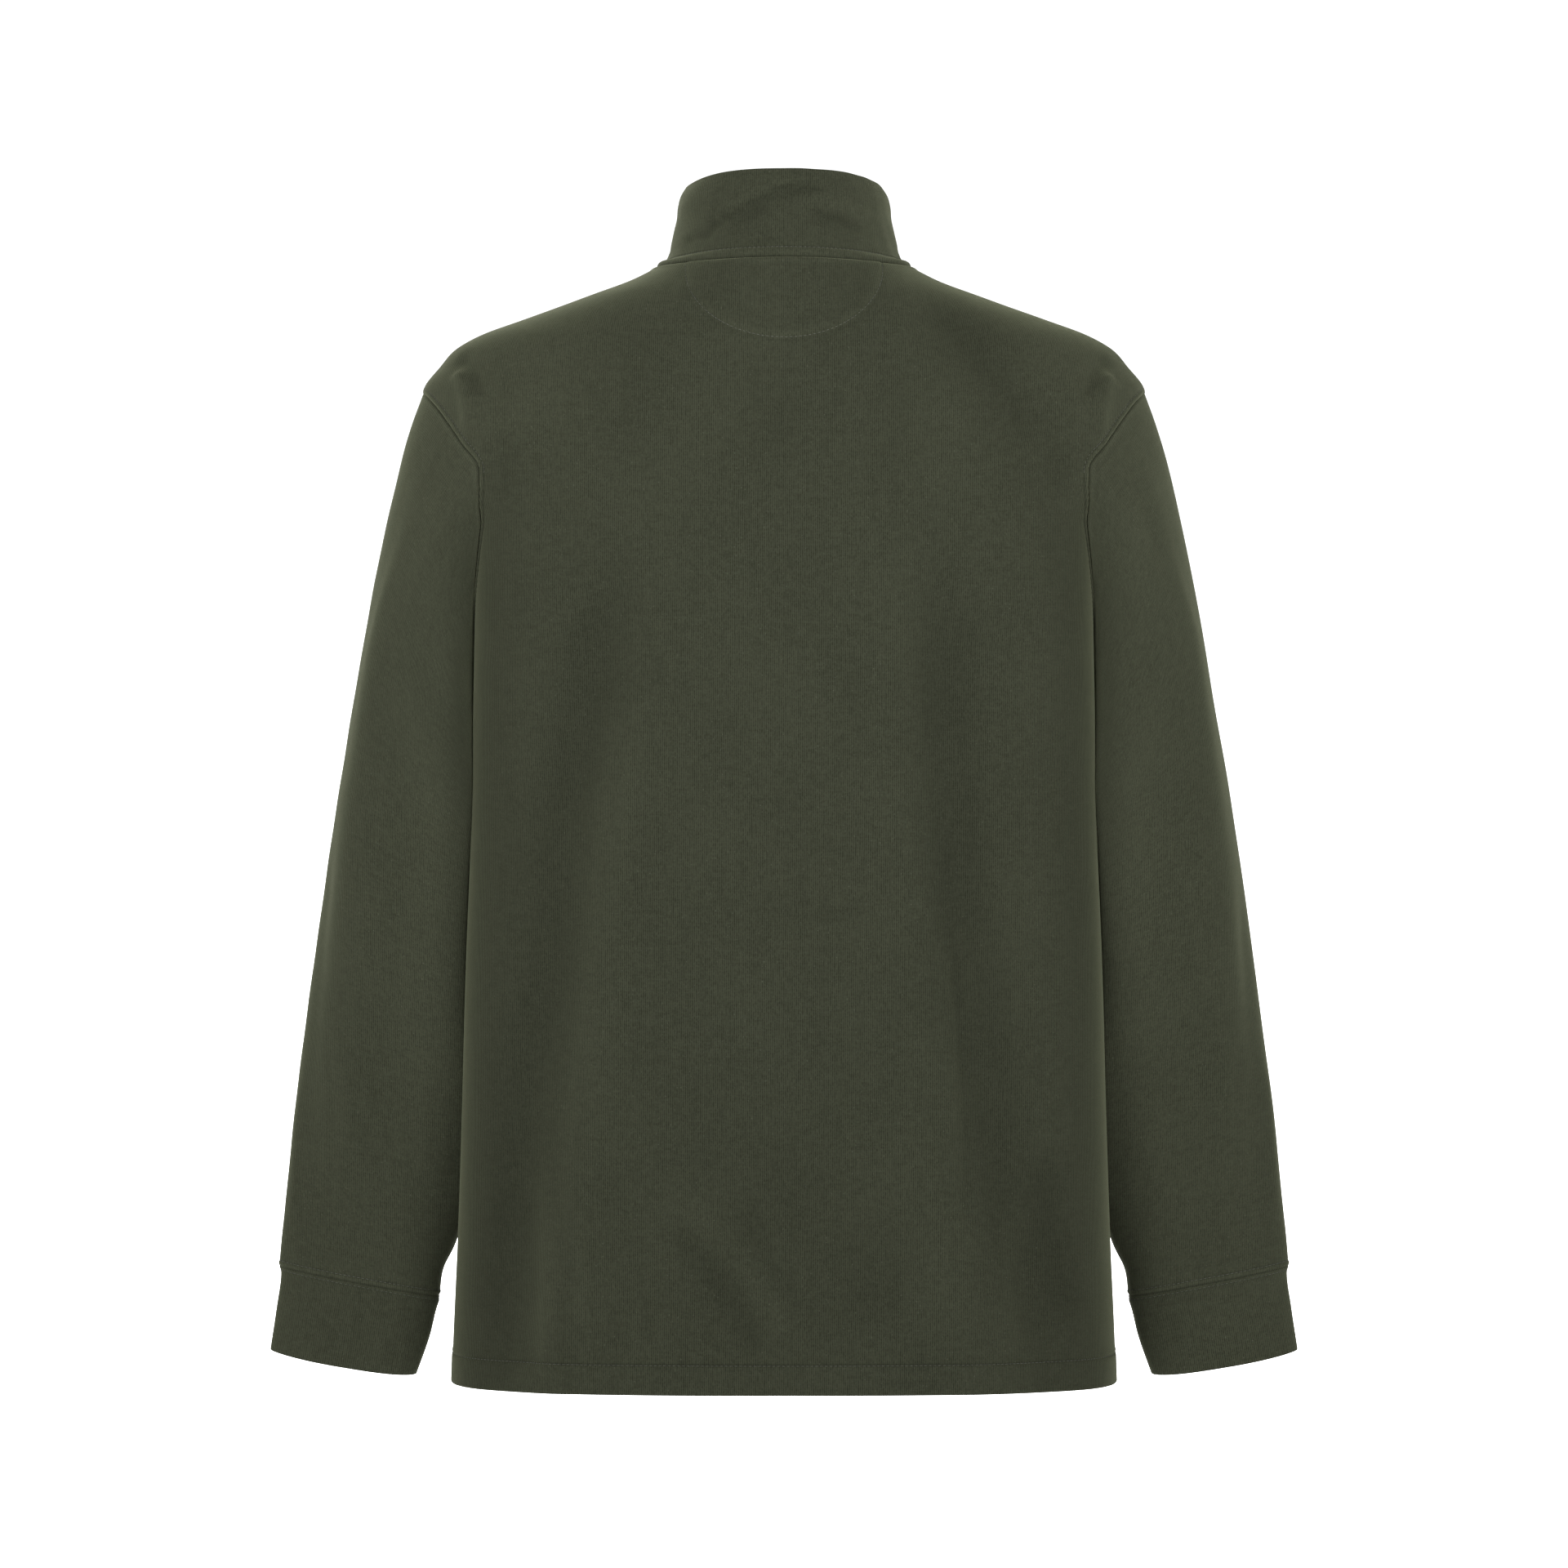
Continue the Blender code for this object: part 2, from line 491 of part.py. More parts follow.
def sleeve_grid(side, folds):
    """A sleeve's outer points, as if on the left, from the armhole to the cuff seam."""
    turns = np.linspace(0, 2 * math.pi, 2 * ARMHOLE_ROWS, endpoint=False)
    shares = np.linspace(0, 1, SLEEVE_ROWS + 1)[:, None] ** SLEEVE_CROWDING
    grid = sleeve_section(shares, turns)
    own_outline = armhole_loop(turns, side) - sleeve_section(0.0, turns)
    grid += own_outline * (1 - soft_step(shares / ARMHOLE_FADE))[..., None]
    down = np.linalg.norm(grid - grid[:1, :1], axis=-1)
    near_armhole = soft_step(shares * SLEEVE_TOP_FADE)
    near_cuff = soft_step((1 - shares) * SLEEVE_FOOT_FADE)
    push = fold_height(folds, distance_round(grid), down) * near_armhole * near_cuff
    return grid + grid_normals(grid, closed=True) * push[..., None]


def distance_round(grid):
    """Distance round each ring from its first point: under 0 over the first half of the ring."""
    steps = np.linalg.norm(np.diff(grid, axis=1, append=grid[:, :1]), axis=-1)
    walked = np.cumsum(steps, axis=1) - steps
    girth = steps.sum(axis=1, keepdims=True)
    return np.where(walked <= girth / 2, -walked, girth - walked)


def cuff_grid(seam_ring):
    """The left cuff's outer points, from the sleeve's last ring to its own edge."""
    turns = np.linspace(0, 2 * math.pi, 2 * ARMHOLE_ROWS, endpoint=False)
    row = read(CUFF, column(CUFF, "share"), np.array(CUFF_SHARES)[:, None])
    grid = section_point(row, row.inner_x, turns)
    grid[..., 2] -= row.sag * np.sin(turns) ** 2
    grid[0] = seam_ring
    return grid


def collar_point(share, angle):
    """A point of the stand collar's outer face."""
    row = read(COLLAR, column(COLLAR, "share"), share)
    cosine, sine = np.cos(angle), np.sin(angle)
    behind = sine >= 0
    y = np.where(behind, row.back_y, -row.front_y) * sine
    back_z = row.side_z + (row.back_z - row.side_z) * (1 - cosine**4)
    front_z = row.side_z + (row.front_z - row.side_z) * sine**2
    return np.stack([row.half_width * cosine, y, np.where(behind, back_z, front_z)], axis=-1)


def collar_grid(neck, angles):
    """The collar's outer points, from the slot's left edge round the back to its right edge."""
    rows = [neck]
    for share in COLLAR_SHARES[1:]:
        half_width = float(read(COLLAR, column(COLLAR, "share"), share).half_width)
        left = angles[: FRONT_COLUMNS + 1]
        slot = -math.acos(SLOT_HALF / half_width)
        left = np.interp(left, (left[0], left[-1]), (slot, left[-1]))
        behind = angles[FRONT_COLUMNS + 1 : -FRONT_COLUMNS - 1]
        rows.append(collar_point(share, np.concatenate([left, behind, math.pi - left[::-1]])))
    return np.array(rows)


def mirrored(grid):
    """The grid on the wearer's right, with its columns turned round so that it faces out."""
    flipped = np.roll(grid[:, ::-1], 1, axis=1).copy()
    flipped[..., 0] *= -1
    return flipped


def sew(pieces):
    """Gives the pieces that meet at a point one outward direction there, so that their rims are
    parallel, and draws each back by half the seam gap, or more at a corner and in a fork."""
    places = [(piece, at, way) for piece in pieces for at, way in piece.border().items()]
    tree = KDTree(len(places))
    for index, (piece, at, _) in enumerate(places):
        tree.insert(piece.outer[at], index)
    tree.balance()
    changes = []
    for piece, at, way in places:
        met = [places[index] for _, index, _ in tree.find_range(piece.outer[at], SAME_PLACE)]
        if len(met) > 1:
            shared = unit(sum(other.outward[there] for other, there, _ in met))
            away = way - (sum(inwards for _, _, inwards in met) - way) / (len(met) - 1)
            away = unit(away - shared * away.dot(shared))
            opposed = 1 - min(piece.outward[at].dot(other.outward[there]) for other, there, _ in met)
            least = DRAWN_BACK if len(met) == 2 else DRAWN_AT_CORNER
            drawn = max(DRAWN_BACK + DRAWN_IN_FORK * opposed, least)
            changes.append((piece, at, shared, away * drawn * SEAM_GAP))
    for piece, at, shared, shift in changes:
        piece.outward[at] = shared
        piece.outer[at] += shift


def build_body():
    """Back, front, sleeves, cuffs, collar and the under band that fills the front's slot."""
    levels, back_angles, front_angles = panel_angles()
    back = torso_point(levels, back_angles)
    front = torso_point(levels, front_angles)
    centre = FRONT_COLUMNS + 1
    neck_angles = np.concatenate(
        [
            front_angles[-1, centre + 1 :],
            back_angles[-1, 1:-1],
            front_angles[-1, :centre] + 2 * math.pi,
        ]
    )
    neck = np.concatenate([front[-1, centre + 1 :], back[-1, 1:-1], front[-1, :centre]])
    collar = collar_grid(neck, neck_angles)

    foot = HEM_ROWS + BODY_ROWS + ARMHOLE_ROWS // 2
    slot = {(row, col) for row in range(foot, len(levels) - 1) for col in (centre - 1, centre)}
    up_the_collar = [
        [ring[-1], collar_point(share, -math.pi / 2), ring[0]]
        for share, ring in zip(COLLAR_SHARES[1:], collar[1:])
    ]
    under = np.concatenate([front[foot:, centre - 1 : centre + 2], up_the_collar])

    thickness = np.where(levels < HEM_LEVEL + HEM_END - SEAM_GAP, HEM_CLOTH, CLOTH)
    pieces = [
        Piece("back_panel", back, thickness),
        Piece("front_panel", front, thickness, left_out=slot),
        Piece("collar", collar, DOUBLED),
        Piece("placket_under", under, BAND_CLOTH),
    ]
    for name, side, folds in (("left", 1, LEFT_SLEEVE_FOLDS), ("right", -1, RIGHT_SLEEVE_FOLDS)):
        sleeve = sleeve_grid(side, folds)
        cuff = cuff_grid(sleeve[-1])
        if side < 0:
            sleeve, cuff = mirrored(sleeve), mirrored(cuff)
        pieces.append(Piece(f"sleeve_{name}", sleeve, CLOTH, closed=True))
        pieces.append(Piece(f"cuff_{name}", cuff, DOUBLED, closed=True))
    top = build_top_band(front, collar, under, foot)
    sew(pieces)
    return pieces + [top, build_patch(pieces[0])]


def build_top_band(front, collar, under, foot):
    """The top band, made from the points of the front, the under band and the collar, moved out."""
    centre = FRONT_COLUMNS + 1
    right_of_slot = np.concatenate([front[foot:, centre - 2], collar[1:, -2]])
    left_of_slot = np.concatenate([front[foot:, centre + 2], collar[1:, 1]])
    right_edge = under[:, 0] + unit(right_of_slot - under[:, 0]) * BAND_OVERLAP
    left_edge = under[:, 2] + unit(left_of_slot - under[:, 2]) * BAND_OVERLAP
    lying = np.concatenate([right_edge[:, None], under, left_edge[:, None]], axis=1)
    below = front[foot - 1, centre] - front[foot, centre]
    lying = np.concatenate([lying[:1] + unit(below) * BAND_FOOT, lying])
    raised = lying + grid_normals(lying) * (SEAM_GAP + BAND_CLOTH)
    return Piece("placket_top", raised, BAND_CLOTH)


def build_patch(back):
    """The half-moon patch, made from the back's inner points, moved in."""
    inside = back.inner()
    middle = BACK_COLUMNS // 2
    drops = inside[-1, middle, 2] - inside[::-1, middle, 2]
    rows = []
    for share in np.linspace(1, 0, PATCH_ROWS + 1):
        points = []
        for turn in np.linspace(0, math.pi, PATCH_COLUMNS + 1):
            x = PATCH_HALF_WIDTH * math.cos(turn)
            depth = PATCH_STRAIGHT + PATCH_ROUND * math.sin(turn)
            drop = PATCH_TOP + (depth - PATCH_TOP) * share
            row = len(drops) - 1 - np.interp(drop, drops, np.arange(len(drops)))
            lower = min(int(row), len(drops) - 2)
            line = inside[lower] + (inside[lower + 1] - inside[lower]) * (row - lower)
            points.append([np.interp(-x, -line[:, 0], line[:, axis]) for axis in range(3)])
        rows.append(points)
    grid = np.array(rows)
    return Piece("half_moon_patch", grid - grid_normals(grid) * SEAM_GAP, PATCH_CLOTH)


def simple_material(name, colour, roughness):
    """A plain finish."""
    material = bpy.data.materials.new(name)
    material.use_nodes = True
    shader = material.node_tree.nodes["Principled BSDF"]
    shader.inputs["Base Color"].default_value = colour
    shader.inputs["Roughness"].default_value = roughness
    shader.inputs["Metallic"].default_value = 0.0
    return material


def add_object(name, mesh, material):
    """Puts a mesh in the scene as its own object, shaded smooth."""
    added = bpy.data.objects.new(name, mesh)
    bpy.context.scene.collection.objects.link(added)
    if not mesh.materials:
        mesh.materials.append(material)
    mesh.shade_smooth()
    mesh.set_sharp_from_angle(angle=SHARP_ANGLE)
    return added


def spun_disc(name, profile, sides):
    """A closed round mesh about +Z from a profile of (radius, height), from the axis to the axis."""
    shape = bmesh.new()
    rings = []
    for radius, height in profile:
        count = 1 if radius == 0 else sides
        turns = [2 * math.pi * step / sides for step in range(count)]
        spots = [(radius * math.cos(turn), radius * math.sin(turn), height) for turn in turns]
        rings.append([shape.verts.new(spot) for spot in spots])
    for lower, upper in zip(rings, rings[1:]):
        for step in range(sides):
            following = (step + 1) % sides
            corners = [lower[step % len(lower)], lower[following % len(lower)]]
            corners += [upper[following % len(upper)], upper[step % len(upper)]]
            shape.faces.new(list(dict.fromkeys(corners)))
    bmesh.ops.recalc_face_normals(shape, faces=shape.faces)
    mesh = bpy.data.meshes.new(name)
    shape.to_mesh(mesh)
    shape.free()
    return mesh


def button_mesh():
    """A four-hole button about +Z, with its back at the origin and a rim round a sunk face."""
    profile = (
        (0, 0),
        (BUTTON_RADIUS - BUTTON_ROUNDING, 0),
        (BUTTON_RADIUS, BUTTON_THICKNESS / 2),
        (BUTTON_RADIUS - BUTTON_ROUNDING, BUTTON_THICKNESS),
        (BUTTON_RADIUS - BUTTON_RIM, BUTTON_THICKNESS - BUTTON_DISH),
        (0, BUTTON_THICKNESS - BUTTON_DISH),
    )
    blank = add_object("button_blank", spun_disc("button", profile, BUTTON_SIDES), None)
    holes = bmesh.new()
    for x_way in (-1, 1):
        for y_way in (-1, 1):
            spot = Vector((x_way, y_way, 0)) * SEWING_HOLE_SPREAD
            spot.z = BUTTON_THICKNESS / 2
            bmesh.ops.create_cone(
                holes,
                cap_ends=True,
                segments=SEWING_HOLE_SIDES,
                radius1=SEWING_HOLE_RADIUS,
                radius2=SEWING_HOLE_RADIUS,
                depth=CUTTER_LENGTH,
                matrix=Matrix.Translation(spot),
            )
    cutter_mesh = bpy.data.meshes.new("sewing_holes")
    holes.to_mesh(cutter_mesh)
    holes.free()
    cutter = add_object("sewing_holes", cutter_mesh, None)
    cut = blank.modifiers.new("sewing_holes", "BOOLEAN")
    cut.object = cutter
    finished = bpy.data.meshes.new_from_object(blank.evaluated_get(bpy.context.evaluated_depsgraph_get()))
    finished.name = "button"
    bpy.data.objects.remove(blank)
    bpy.data.objects.remove(cutter)
    return finished


def add_buttons(top_band, material):
    """The buttons, each square to the top band where it lies."""
    mesh = button_mesh()
    mesh.materials.clear()
    line = top_band.outer[::-1, 2]
    walked = np.concatenate([[0], np.cumsum(np.linalg.norm(np.diff(line, axis=0), axis=1))])
    for number in range(BUTTON_COUNT):
        distance = BUTTON_TOP + number * BUTTON_SPACING
        after = int(np.searchsorted(walked, distance))
        spot = [np.interp(distance, walked, line[:, axis]) for axis in range(3)]
        down = Vector(unit(line[after] - line[after - 1]))
        right = Vector((-1, 0, 0))
        facing = right.cross(down)
        turned = Matrix((right, down, facing)).transposed().to_4x4()
        button = add_object(f"button_{number + 1}", mesh, material)
        button.matrix_world = Matrix.Translation(Vector(spot) + facing * SEAM_GAP) @ turned


def main():
    """Builds the shirt."""
    for old in list(bpy.data.objects):
        bpy.data.objects.remove(old)
    knit = simple_material("olive_rib_knit", KNIT_COLOUR, CLOTH_ROUGHNESS)
    patch_cloth = simple_material("patch_cloth", PATCH_COLOUR, CLOTH_ROUGHNESS)
    button_plastic = simple_material("button_plastic", BUTTON_COLOUR, BUTTON_ROUGHNESS)
    pieces = build_body()
    for piece in pieces:
        add_object(piece.name, piece.mesh(), patch_cloth if piece.name == "half_moon_patch" else knit)
    top_band = next(piece for piece in pieces if piece.name == "placket_top")
    add_buttons(top_band, button_plastic)


main()
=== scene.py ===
"""The looks of a long-sleeved polo shirt, filled out as it is worn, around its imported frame.

Metres, +Z up. The front faces -Y and the wearer's left side is +X. The origin is the middle of
the neck, level with the two points where the shoulder seams meet the collar.
Each cut piece is a thin closed shell on the form of its solid. Its grid of points is worked
out from the same tables, with the creases, the seams' ridges and the stitches added.
"""

from __future__ import annotations

from dataclasses import dataclass, field
from enum import Enum
import json
import logging
import math
from typing import Iterable, NamedTuple, Sequence

import bmesh
import bpy
from mathutils import Matrix, Vector
from mathutils.kdtree import KDTree
import numpy as np

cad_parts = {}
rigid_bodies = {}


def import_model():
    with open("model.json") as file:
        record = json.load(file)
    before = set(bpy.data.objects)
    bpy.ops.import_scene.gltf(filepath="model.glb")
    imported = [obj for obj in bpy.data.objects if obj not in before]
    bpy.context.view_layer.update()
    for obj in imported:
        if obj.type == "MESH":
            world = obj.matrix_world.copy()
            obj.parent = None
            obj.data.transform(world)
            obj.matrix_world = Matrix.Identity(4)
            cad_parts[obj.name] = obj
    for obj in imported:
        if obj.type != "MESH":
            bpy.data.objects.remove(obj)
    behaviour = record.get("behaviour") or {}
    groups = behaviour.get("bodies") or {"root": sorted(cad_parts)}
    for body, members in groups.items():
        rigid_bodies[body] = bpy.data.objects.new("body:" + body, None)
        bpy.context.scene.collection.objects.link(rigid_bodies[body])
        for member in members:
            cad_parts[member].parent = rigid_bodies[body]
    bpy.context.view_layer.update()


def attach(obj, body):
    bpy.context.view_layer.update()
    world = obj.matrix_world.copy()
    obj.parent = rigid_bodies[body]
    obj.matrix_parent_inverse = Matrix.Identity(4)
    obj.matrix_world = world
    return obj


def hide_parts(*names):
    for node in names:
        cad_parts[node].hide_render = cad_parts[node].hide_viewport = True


LOG = logging.getLogger("polo_shirt")
BODY = "root"
SAME_PLACE = 0.00002
# The point attribute that holds painted shade, and painted light where it is under 0, which the finishes
# multiply into their colour.
SHADE = "seam_shade"
FURTHEST_STEP = 40

Grid = np.ndarray
Shape = tuple[np.ndarray, list[list[int]]]
Colour = tuple[float, float, float, float]
Line = tuple[np.ndarray, np.ndarray]
Socket = bpy.types.NodeSocket


# Tables of the form


class Ring(NamedTuple):
    """A level of the torso: two half rounded rectangles that meet at its widest place."""

    level: float
    half_width: float
    widest_y: float
    back_y: float
    front_y: float
    back_square: float
    front_square: float
    back_drop: float
    front_drop: float


class SeamPoint(NamedTuple):
    """The y of the seam between front and back at a level."""

    level: float
    y: float


class ArmholePoint(NamedTuple):
    """The armhole's edge on the back and on the front, from underarm (0) to shoulder tip (1)."""

    share: float
    back_y: float
    front_y: float


class SleeveSection(NamedTuple):
    """A section of the sleeve, from a point on its outer edge to one beside the torso."""

    outer_x: float
    outer_z: float
    inner_z: float
    side_gap: float
    middle_y: float
    half_depth: float
    square: float


class CuffSection(NamedTuple):
    """A section of the cuff, from its seam (share 0) to its edge (share 1)."""

    share: float
    outer_x: float
    outer_z: float
    inner_x: float
    inner_z: float
    middle_y: float
    half_depth: float
    square: float
    sag: float


class CollarRing(NamedTuple):
    """A ring of the stand collar, from the neck seam (share 0) to the folded edge (share 1)."""

    share: float
    half_width: float
    back_y: float
    front_y: float
    side_z: float
    back_z: float
    front_z: float


class Crease(NamedTuple):
    """A soft trough (depth under 0) or ridge along a curve through three points of the cloth."""

    top: tuple[float, float]
    middle: tuple[float, float]
    bottom: tuple[float, float]
    width: float
    depth: float
    round: float = 2.0


def table_of(kind: type, rows: Iterable[tuple]) -> tuple:
    """A table with a row of this kind for each tuple."""
    return tuple(kind(*row) for row in rows)


HEM_LEVEL = -0.7270
UNDERARM_LEVEL = -0.3160
SHOULDER_TIP_LEVEL = -0.0810
NECK_LEVEL = 0.0
HEM_RISES = (
    0, 0.00015, 0.0005, 0.0010, 0.0015, 0.0030, 0.0060, 0.0090, 0.0120, 0.0150,
    0.0170, 0.0180, 0.0187, 0.0192, 0.0195, 0.0198, 0.0203, 0.0210, 0.0220, 0.0232,
)
COLLAR_STEPS = ((0.4, 0.4, 22), (0.5, 1.3, 8), (1.4, 1.4, 26), (1.3, 0.15, 12))
BAND_END_STEPS = (0, 0.00008, 0.0003, 0.0007, 0.0012, 0.0018, 0.0026)
BAND_EDGE_STEPS = (*BAND_END_STEPS[:-1], 0.0024, 0.0034, 0.0060)

TORSO = table_of(Ring, (
    (HEM_LEVEL, 0.2172, 0, 0.124, -0.123, 2.45, 2.45, -0.0028, 0),
    (-0.7, 0.2162, 0.001, 0.123, -0.122, 2.45, 2.45, -0.002, 0),
    (-0.632, 0.213, 0.004, 0.118, -0.12, 2.55, 2.5, -0.001, 0),
    (-0.55, 0.21, 0.01, 0.114, -0.119, 2.55, 2.55, 0, 0),
    (-0.467, 0.2076, 0.016, 0.112, -0.12, 2.5, 2.6, 0, 0),
    (-0.386, 0.2044, 0.022, 0.114, -0.124, 2.45, 2.7, 0, 0.001),
    (UNDERARM_LEVEL, 0.2025, 0.027, 0.118, -0.128, 2.4, 2.8, 0, 0.003),
    (-0.252, 0.201, 0.031, 0.121, -0.129, 2.35, 2.9, 0.001, 0.008),
    (-0.199, 0.2, 0.034, 0.1215, -0.1265, 2.3, 3.1, 0.003, 0.015),
    (-0.17, 0.1998, 0.034, 0.1205, -0.1235, 2.3, 3.3, 0.005, 0.021),
    (-0.158, 0.206, 0.028, 0.1195, -0.122, 2.25, 3.2, 0.006, 0.024),
    (-0.146, 0.22, 0.014, 0.1185, -0.1205, 2.15, 2.65, 0.007, 0.027),
    (-0.134, 0.231, 0.004, 0.117, -0.1185, 2.1, 2.25, 0.008, 0.03),
    (-0.12, 0.2345, 0.001, 0.1145, -0.116, 2.08, 2.12, 0.009, 0.034),
    (-0.103, 0.236, 0, 0.1115, -0.113, 2.05, 2.08, 0.011, 0.039),
    (SHOULDER_TIP_LEVEL, 0.236, 0, 0.107, -0.1085, 2.05, 2.05, 0.012, 0.045),
    (-0.0641, 0.225, 0, 0.103, -0.1045, 2.02, 2.02, 0.012, 0.049),
    (-0.0513, 0.2128, 0, 0.099, -0.1015, 2, 2, 0.011, 0.052),
    (-0.0427, 0.1965, 0, 0.0965, -0.099, 2, 2, 0.01, 0.0535),
    (-0.0341, 0.1725, 0, 0.0935, -0.0965, 2, 2, 0.009, 0.055),
    (-0.0256, 0.1487, 0, 0.0905, -0.094, 2, 2, 0.007, 0.056),
    (-0.017, 0.1255, 0, 0.0865, -0.091, 2, 2, 0.005, 0.057),
    (-0.0085, 0.102, 0, 0.082, -0.087, 2, 2, 0.003, 0.0575),
    (NECK_LEVEL, 0.084, 0, 0.077, -0.083, 2, 2, -0.001, 0.058),
))
SIDE_SEAM = (SeamPoint(HEM_LEVEL, -0.006), SeamPoint(UNDERARM_LEVEL, -0.02))
SHOULDER_SEAM = (SeamPoint(SHOULDER_TIP_LEVEL, -0.004), SeamPoint(NECK_LEVEL, -0.01))
ARMHOLE = table_of(ArmholePoint, (
    (0, -0.02, -0.02),
    (0.1, -0.007, -0.035),
    (0.2, 0.006, -0.048),
    (0.3, 0.019, -0.058),
    (0.4, 0.034, -0.066),
    (0.5, 0.049, -0.069),
    (0.6, 0.0605, -0.067),
    (0.65, 0.066, -0.0645),
    (0.69, 0.0668, -0.0618),
    (0.75, 0.0558, -0.0535),
    (0.8, 0.0461, -0.046),
    (0.9, 0.025, -0.027),
    (1, -0.004, -0.004),
))
SLEEVE = table_of(SleeveSection, (
    (0.236, -0.081, -0.316, 0, -0.006, 0.062, 2),
    (0.244, -0.103, -0.3205, 0.0004, -0.007, 0.064, 2.1),
    (0.2518, -0.13, -0.326, 0.0004, -0.009, 0.0665, 2.3),
    (0.262, -0.174, -0.335, 0.0004, -0.012, 0.069, 2.5),
    (0.273, -0.23, -0.349, 0.0004, -0.016, 0.0705, 2.7),
    (0.2835, -0.29, -0.371, 0.0004, -0.02, 0.07, 2.8),
    (0.2935, -0.347, -0.403, 0.0004, -0.024, 0.0665, 2.8),
    (0.3025, -0.403, -0.447, 0.0004, -0.028, 0.0605, 2.7),
    (0.311, -0.459, -0.497, 0.0004, -0.033, 0.0525, 2.6),
    (0.319, -0.516, -0.547, 0.0004, -0.038, 0.0445, 2.5),
    (0.3255, -0.566, -0.594, 0.0004, -0.042, 0.0372, 2.3),
    (0.3305, -0.614, -0.638, 0.012, -0.045, 0.031, 2.2),
    (0.333, -0.636, -0.658, 0.0205, -0.046, 0.027, 2.1),
    (0.3348, -0.656, -0.6755, 0.0222, -0.046, 0.024, 2.1),
))
CUFF = table_of(CuffSection, (
    (0, 0.3348, -0.656, 0.2268, -0.6755, -0.046, 0.024, 2.1, 0),
    (0.1, 0.3336, -0.661, 0.229, -0.6805, -0.046, 0.0218, 2.1, 0.0003),
    (0.5, 0.3367, -0.6845, 0.235, -0.703, -0.047, 0.0206, 2.1, 0.001),
    (1, 0.341, -0.7125, 0.244, -0.7285, -0.048, 0.02, 2.1, 0.0019),
))
COLLAR = table_of(CollarRing, (
    (0, 0.084, 0.077, -0.083, 0, 0.001, -0.058),
    (0.08, 0.0778, 0.076, -0.0828, 0.005, 0.0056, -0.0532),
    (0.16, 0.0753, 0.075, -0.0824, 0.0095, 0.01, -0.0484),
    (0.3, 0.0738, 0.0735, -0.0818, 0.0165, 0.0178, -0.04),
    (0.45, 0.072, 0.0718, -0.0812, 0.0246, 0.0262, -0.031),
    (0.6, 0.0702, 0.0702, -0.0806, 0.0327, 0.0353, -0.022),
    (0.75, 0.0695, 0.069, -0.08, 0.0404, 0.0443, -0.013),
    (0.87, 0.0678, 0.0674, -0.0792, 0.047, 0.0518, -0.0058),
    (1, 0.064, 0.065, -0.078, 0.0533, 0.0595, 0.002),
))

# On the torso a crease's points are x and height. On a sleeve they are the distance round from
# the outer edge, over 0 towards the back, and the distance from the shoulder tip. On the collar
# they are x and the distance up from the neck seam, at the back.
BACK_CREASES = table_of(Crease, (
    ((0.099, -0.17), (0.144, -0.4), (0.181, -0.735), 0.02, -0.009),
    ((0.098, -0.27), (0.116, -0.48), (0.147, -0.735), 0.013, 0.005),
    ((-0.104, -0.17), (-0.111, -0.4), (-0.176, -0.735), 0.022, -0.008),
    ((-0.07, -0.18), (-0.077, -0.38), (-0.118, -0.735), 0.018, 0.0036),
    ((0.05, -0.52), (0.005, -0.6), (-0.05, -0.69), 0.05, -0.0018),
    ((-0.076, -0.024), (-0.127, -0.062), (-0.163, -0.118), 0.02, -0.0062),
    ((0.213, -0.069), (0.2055, -0.082), (0.202, -0.112), 0.0055, 0.0034),
    ((-0.213, -0.071), (-0.206, -0.084), (-0.2025, -0.114), 0.0055, 0.0032),
))
FRONT_CREASES = table_of(Crease, (
    ((0.12, -0.215), (0.132, -0.42), (0.162, -0.73), 0.024, -0.0055),
    ((0.085, -0.33), (0.09, -0.5), (0.112, -0.73), 0.019, 0.003),
    ((-0.112, -0.23), (-0.128, -0.44), (-0.15, -0.73), 0.024, -0.005),
    ((-0.06, -0.38), (-0.066, -0.54), (-0.086, -0.73), 0.02, -0.0028),
    ((0.15, -0.13), (0.125, -0.18), (0.085, -0.24), 0.016, -0.0025),
    ((-0.15, -0.13), (-0.128, -0.175), (-0.092, -0.225), 0.016, -0.0022),
))
LEFT_SLEEVE_CREASES = table_of(Crease, (
    ((0.062, 0.08), (0.064, 0.3), (0.058, 0.56), 0.016, 0.003),
    ((0.034, 0.26), (0.03, 0.42), (0.036, 0.56), 0.014, -0.0026),
    ((-0.05, 0.12), (-0.056, 0.3), (-0.044, 0.54), 0.016, -0.003),
    ((-0.03, 0.24), (-0.036, 0.33), (-0.074, 0.4), 0.013, -0.0028),
))
RIGHT_SLEEVE_CREASES = table_of(Crease, (
    ((0.06, 0.09), (0.063, 0.32), (0.056, 0.555), 0.017, 0.0026),
    ((0.032, 0.3), (0.034, 0.44), (0.03, 0.565), 0.013, -0.0028),
    ((-0.052, 0.14), (-0.05, 0.33), (-0.046, 0.545), 0.017, -0.0026),
    ((-0.028, 0.26), (-0.04, 0.34), (-0.076, 0.395), 0.014, -0.0024),
))
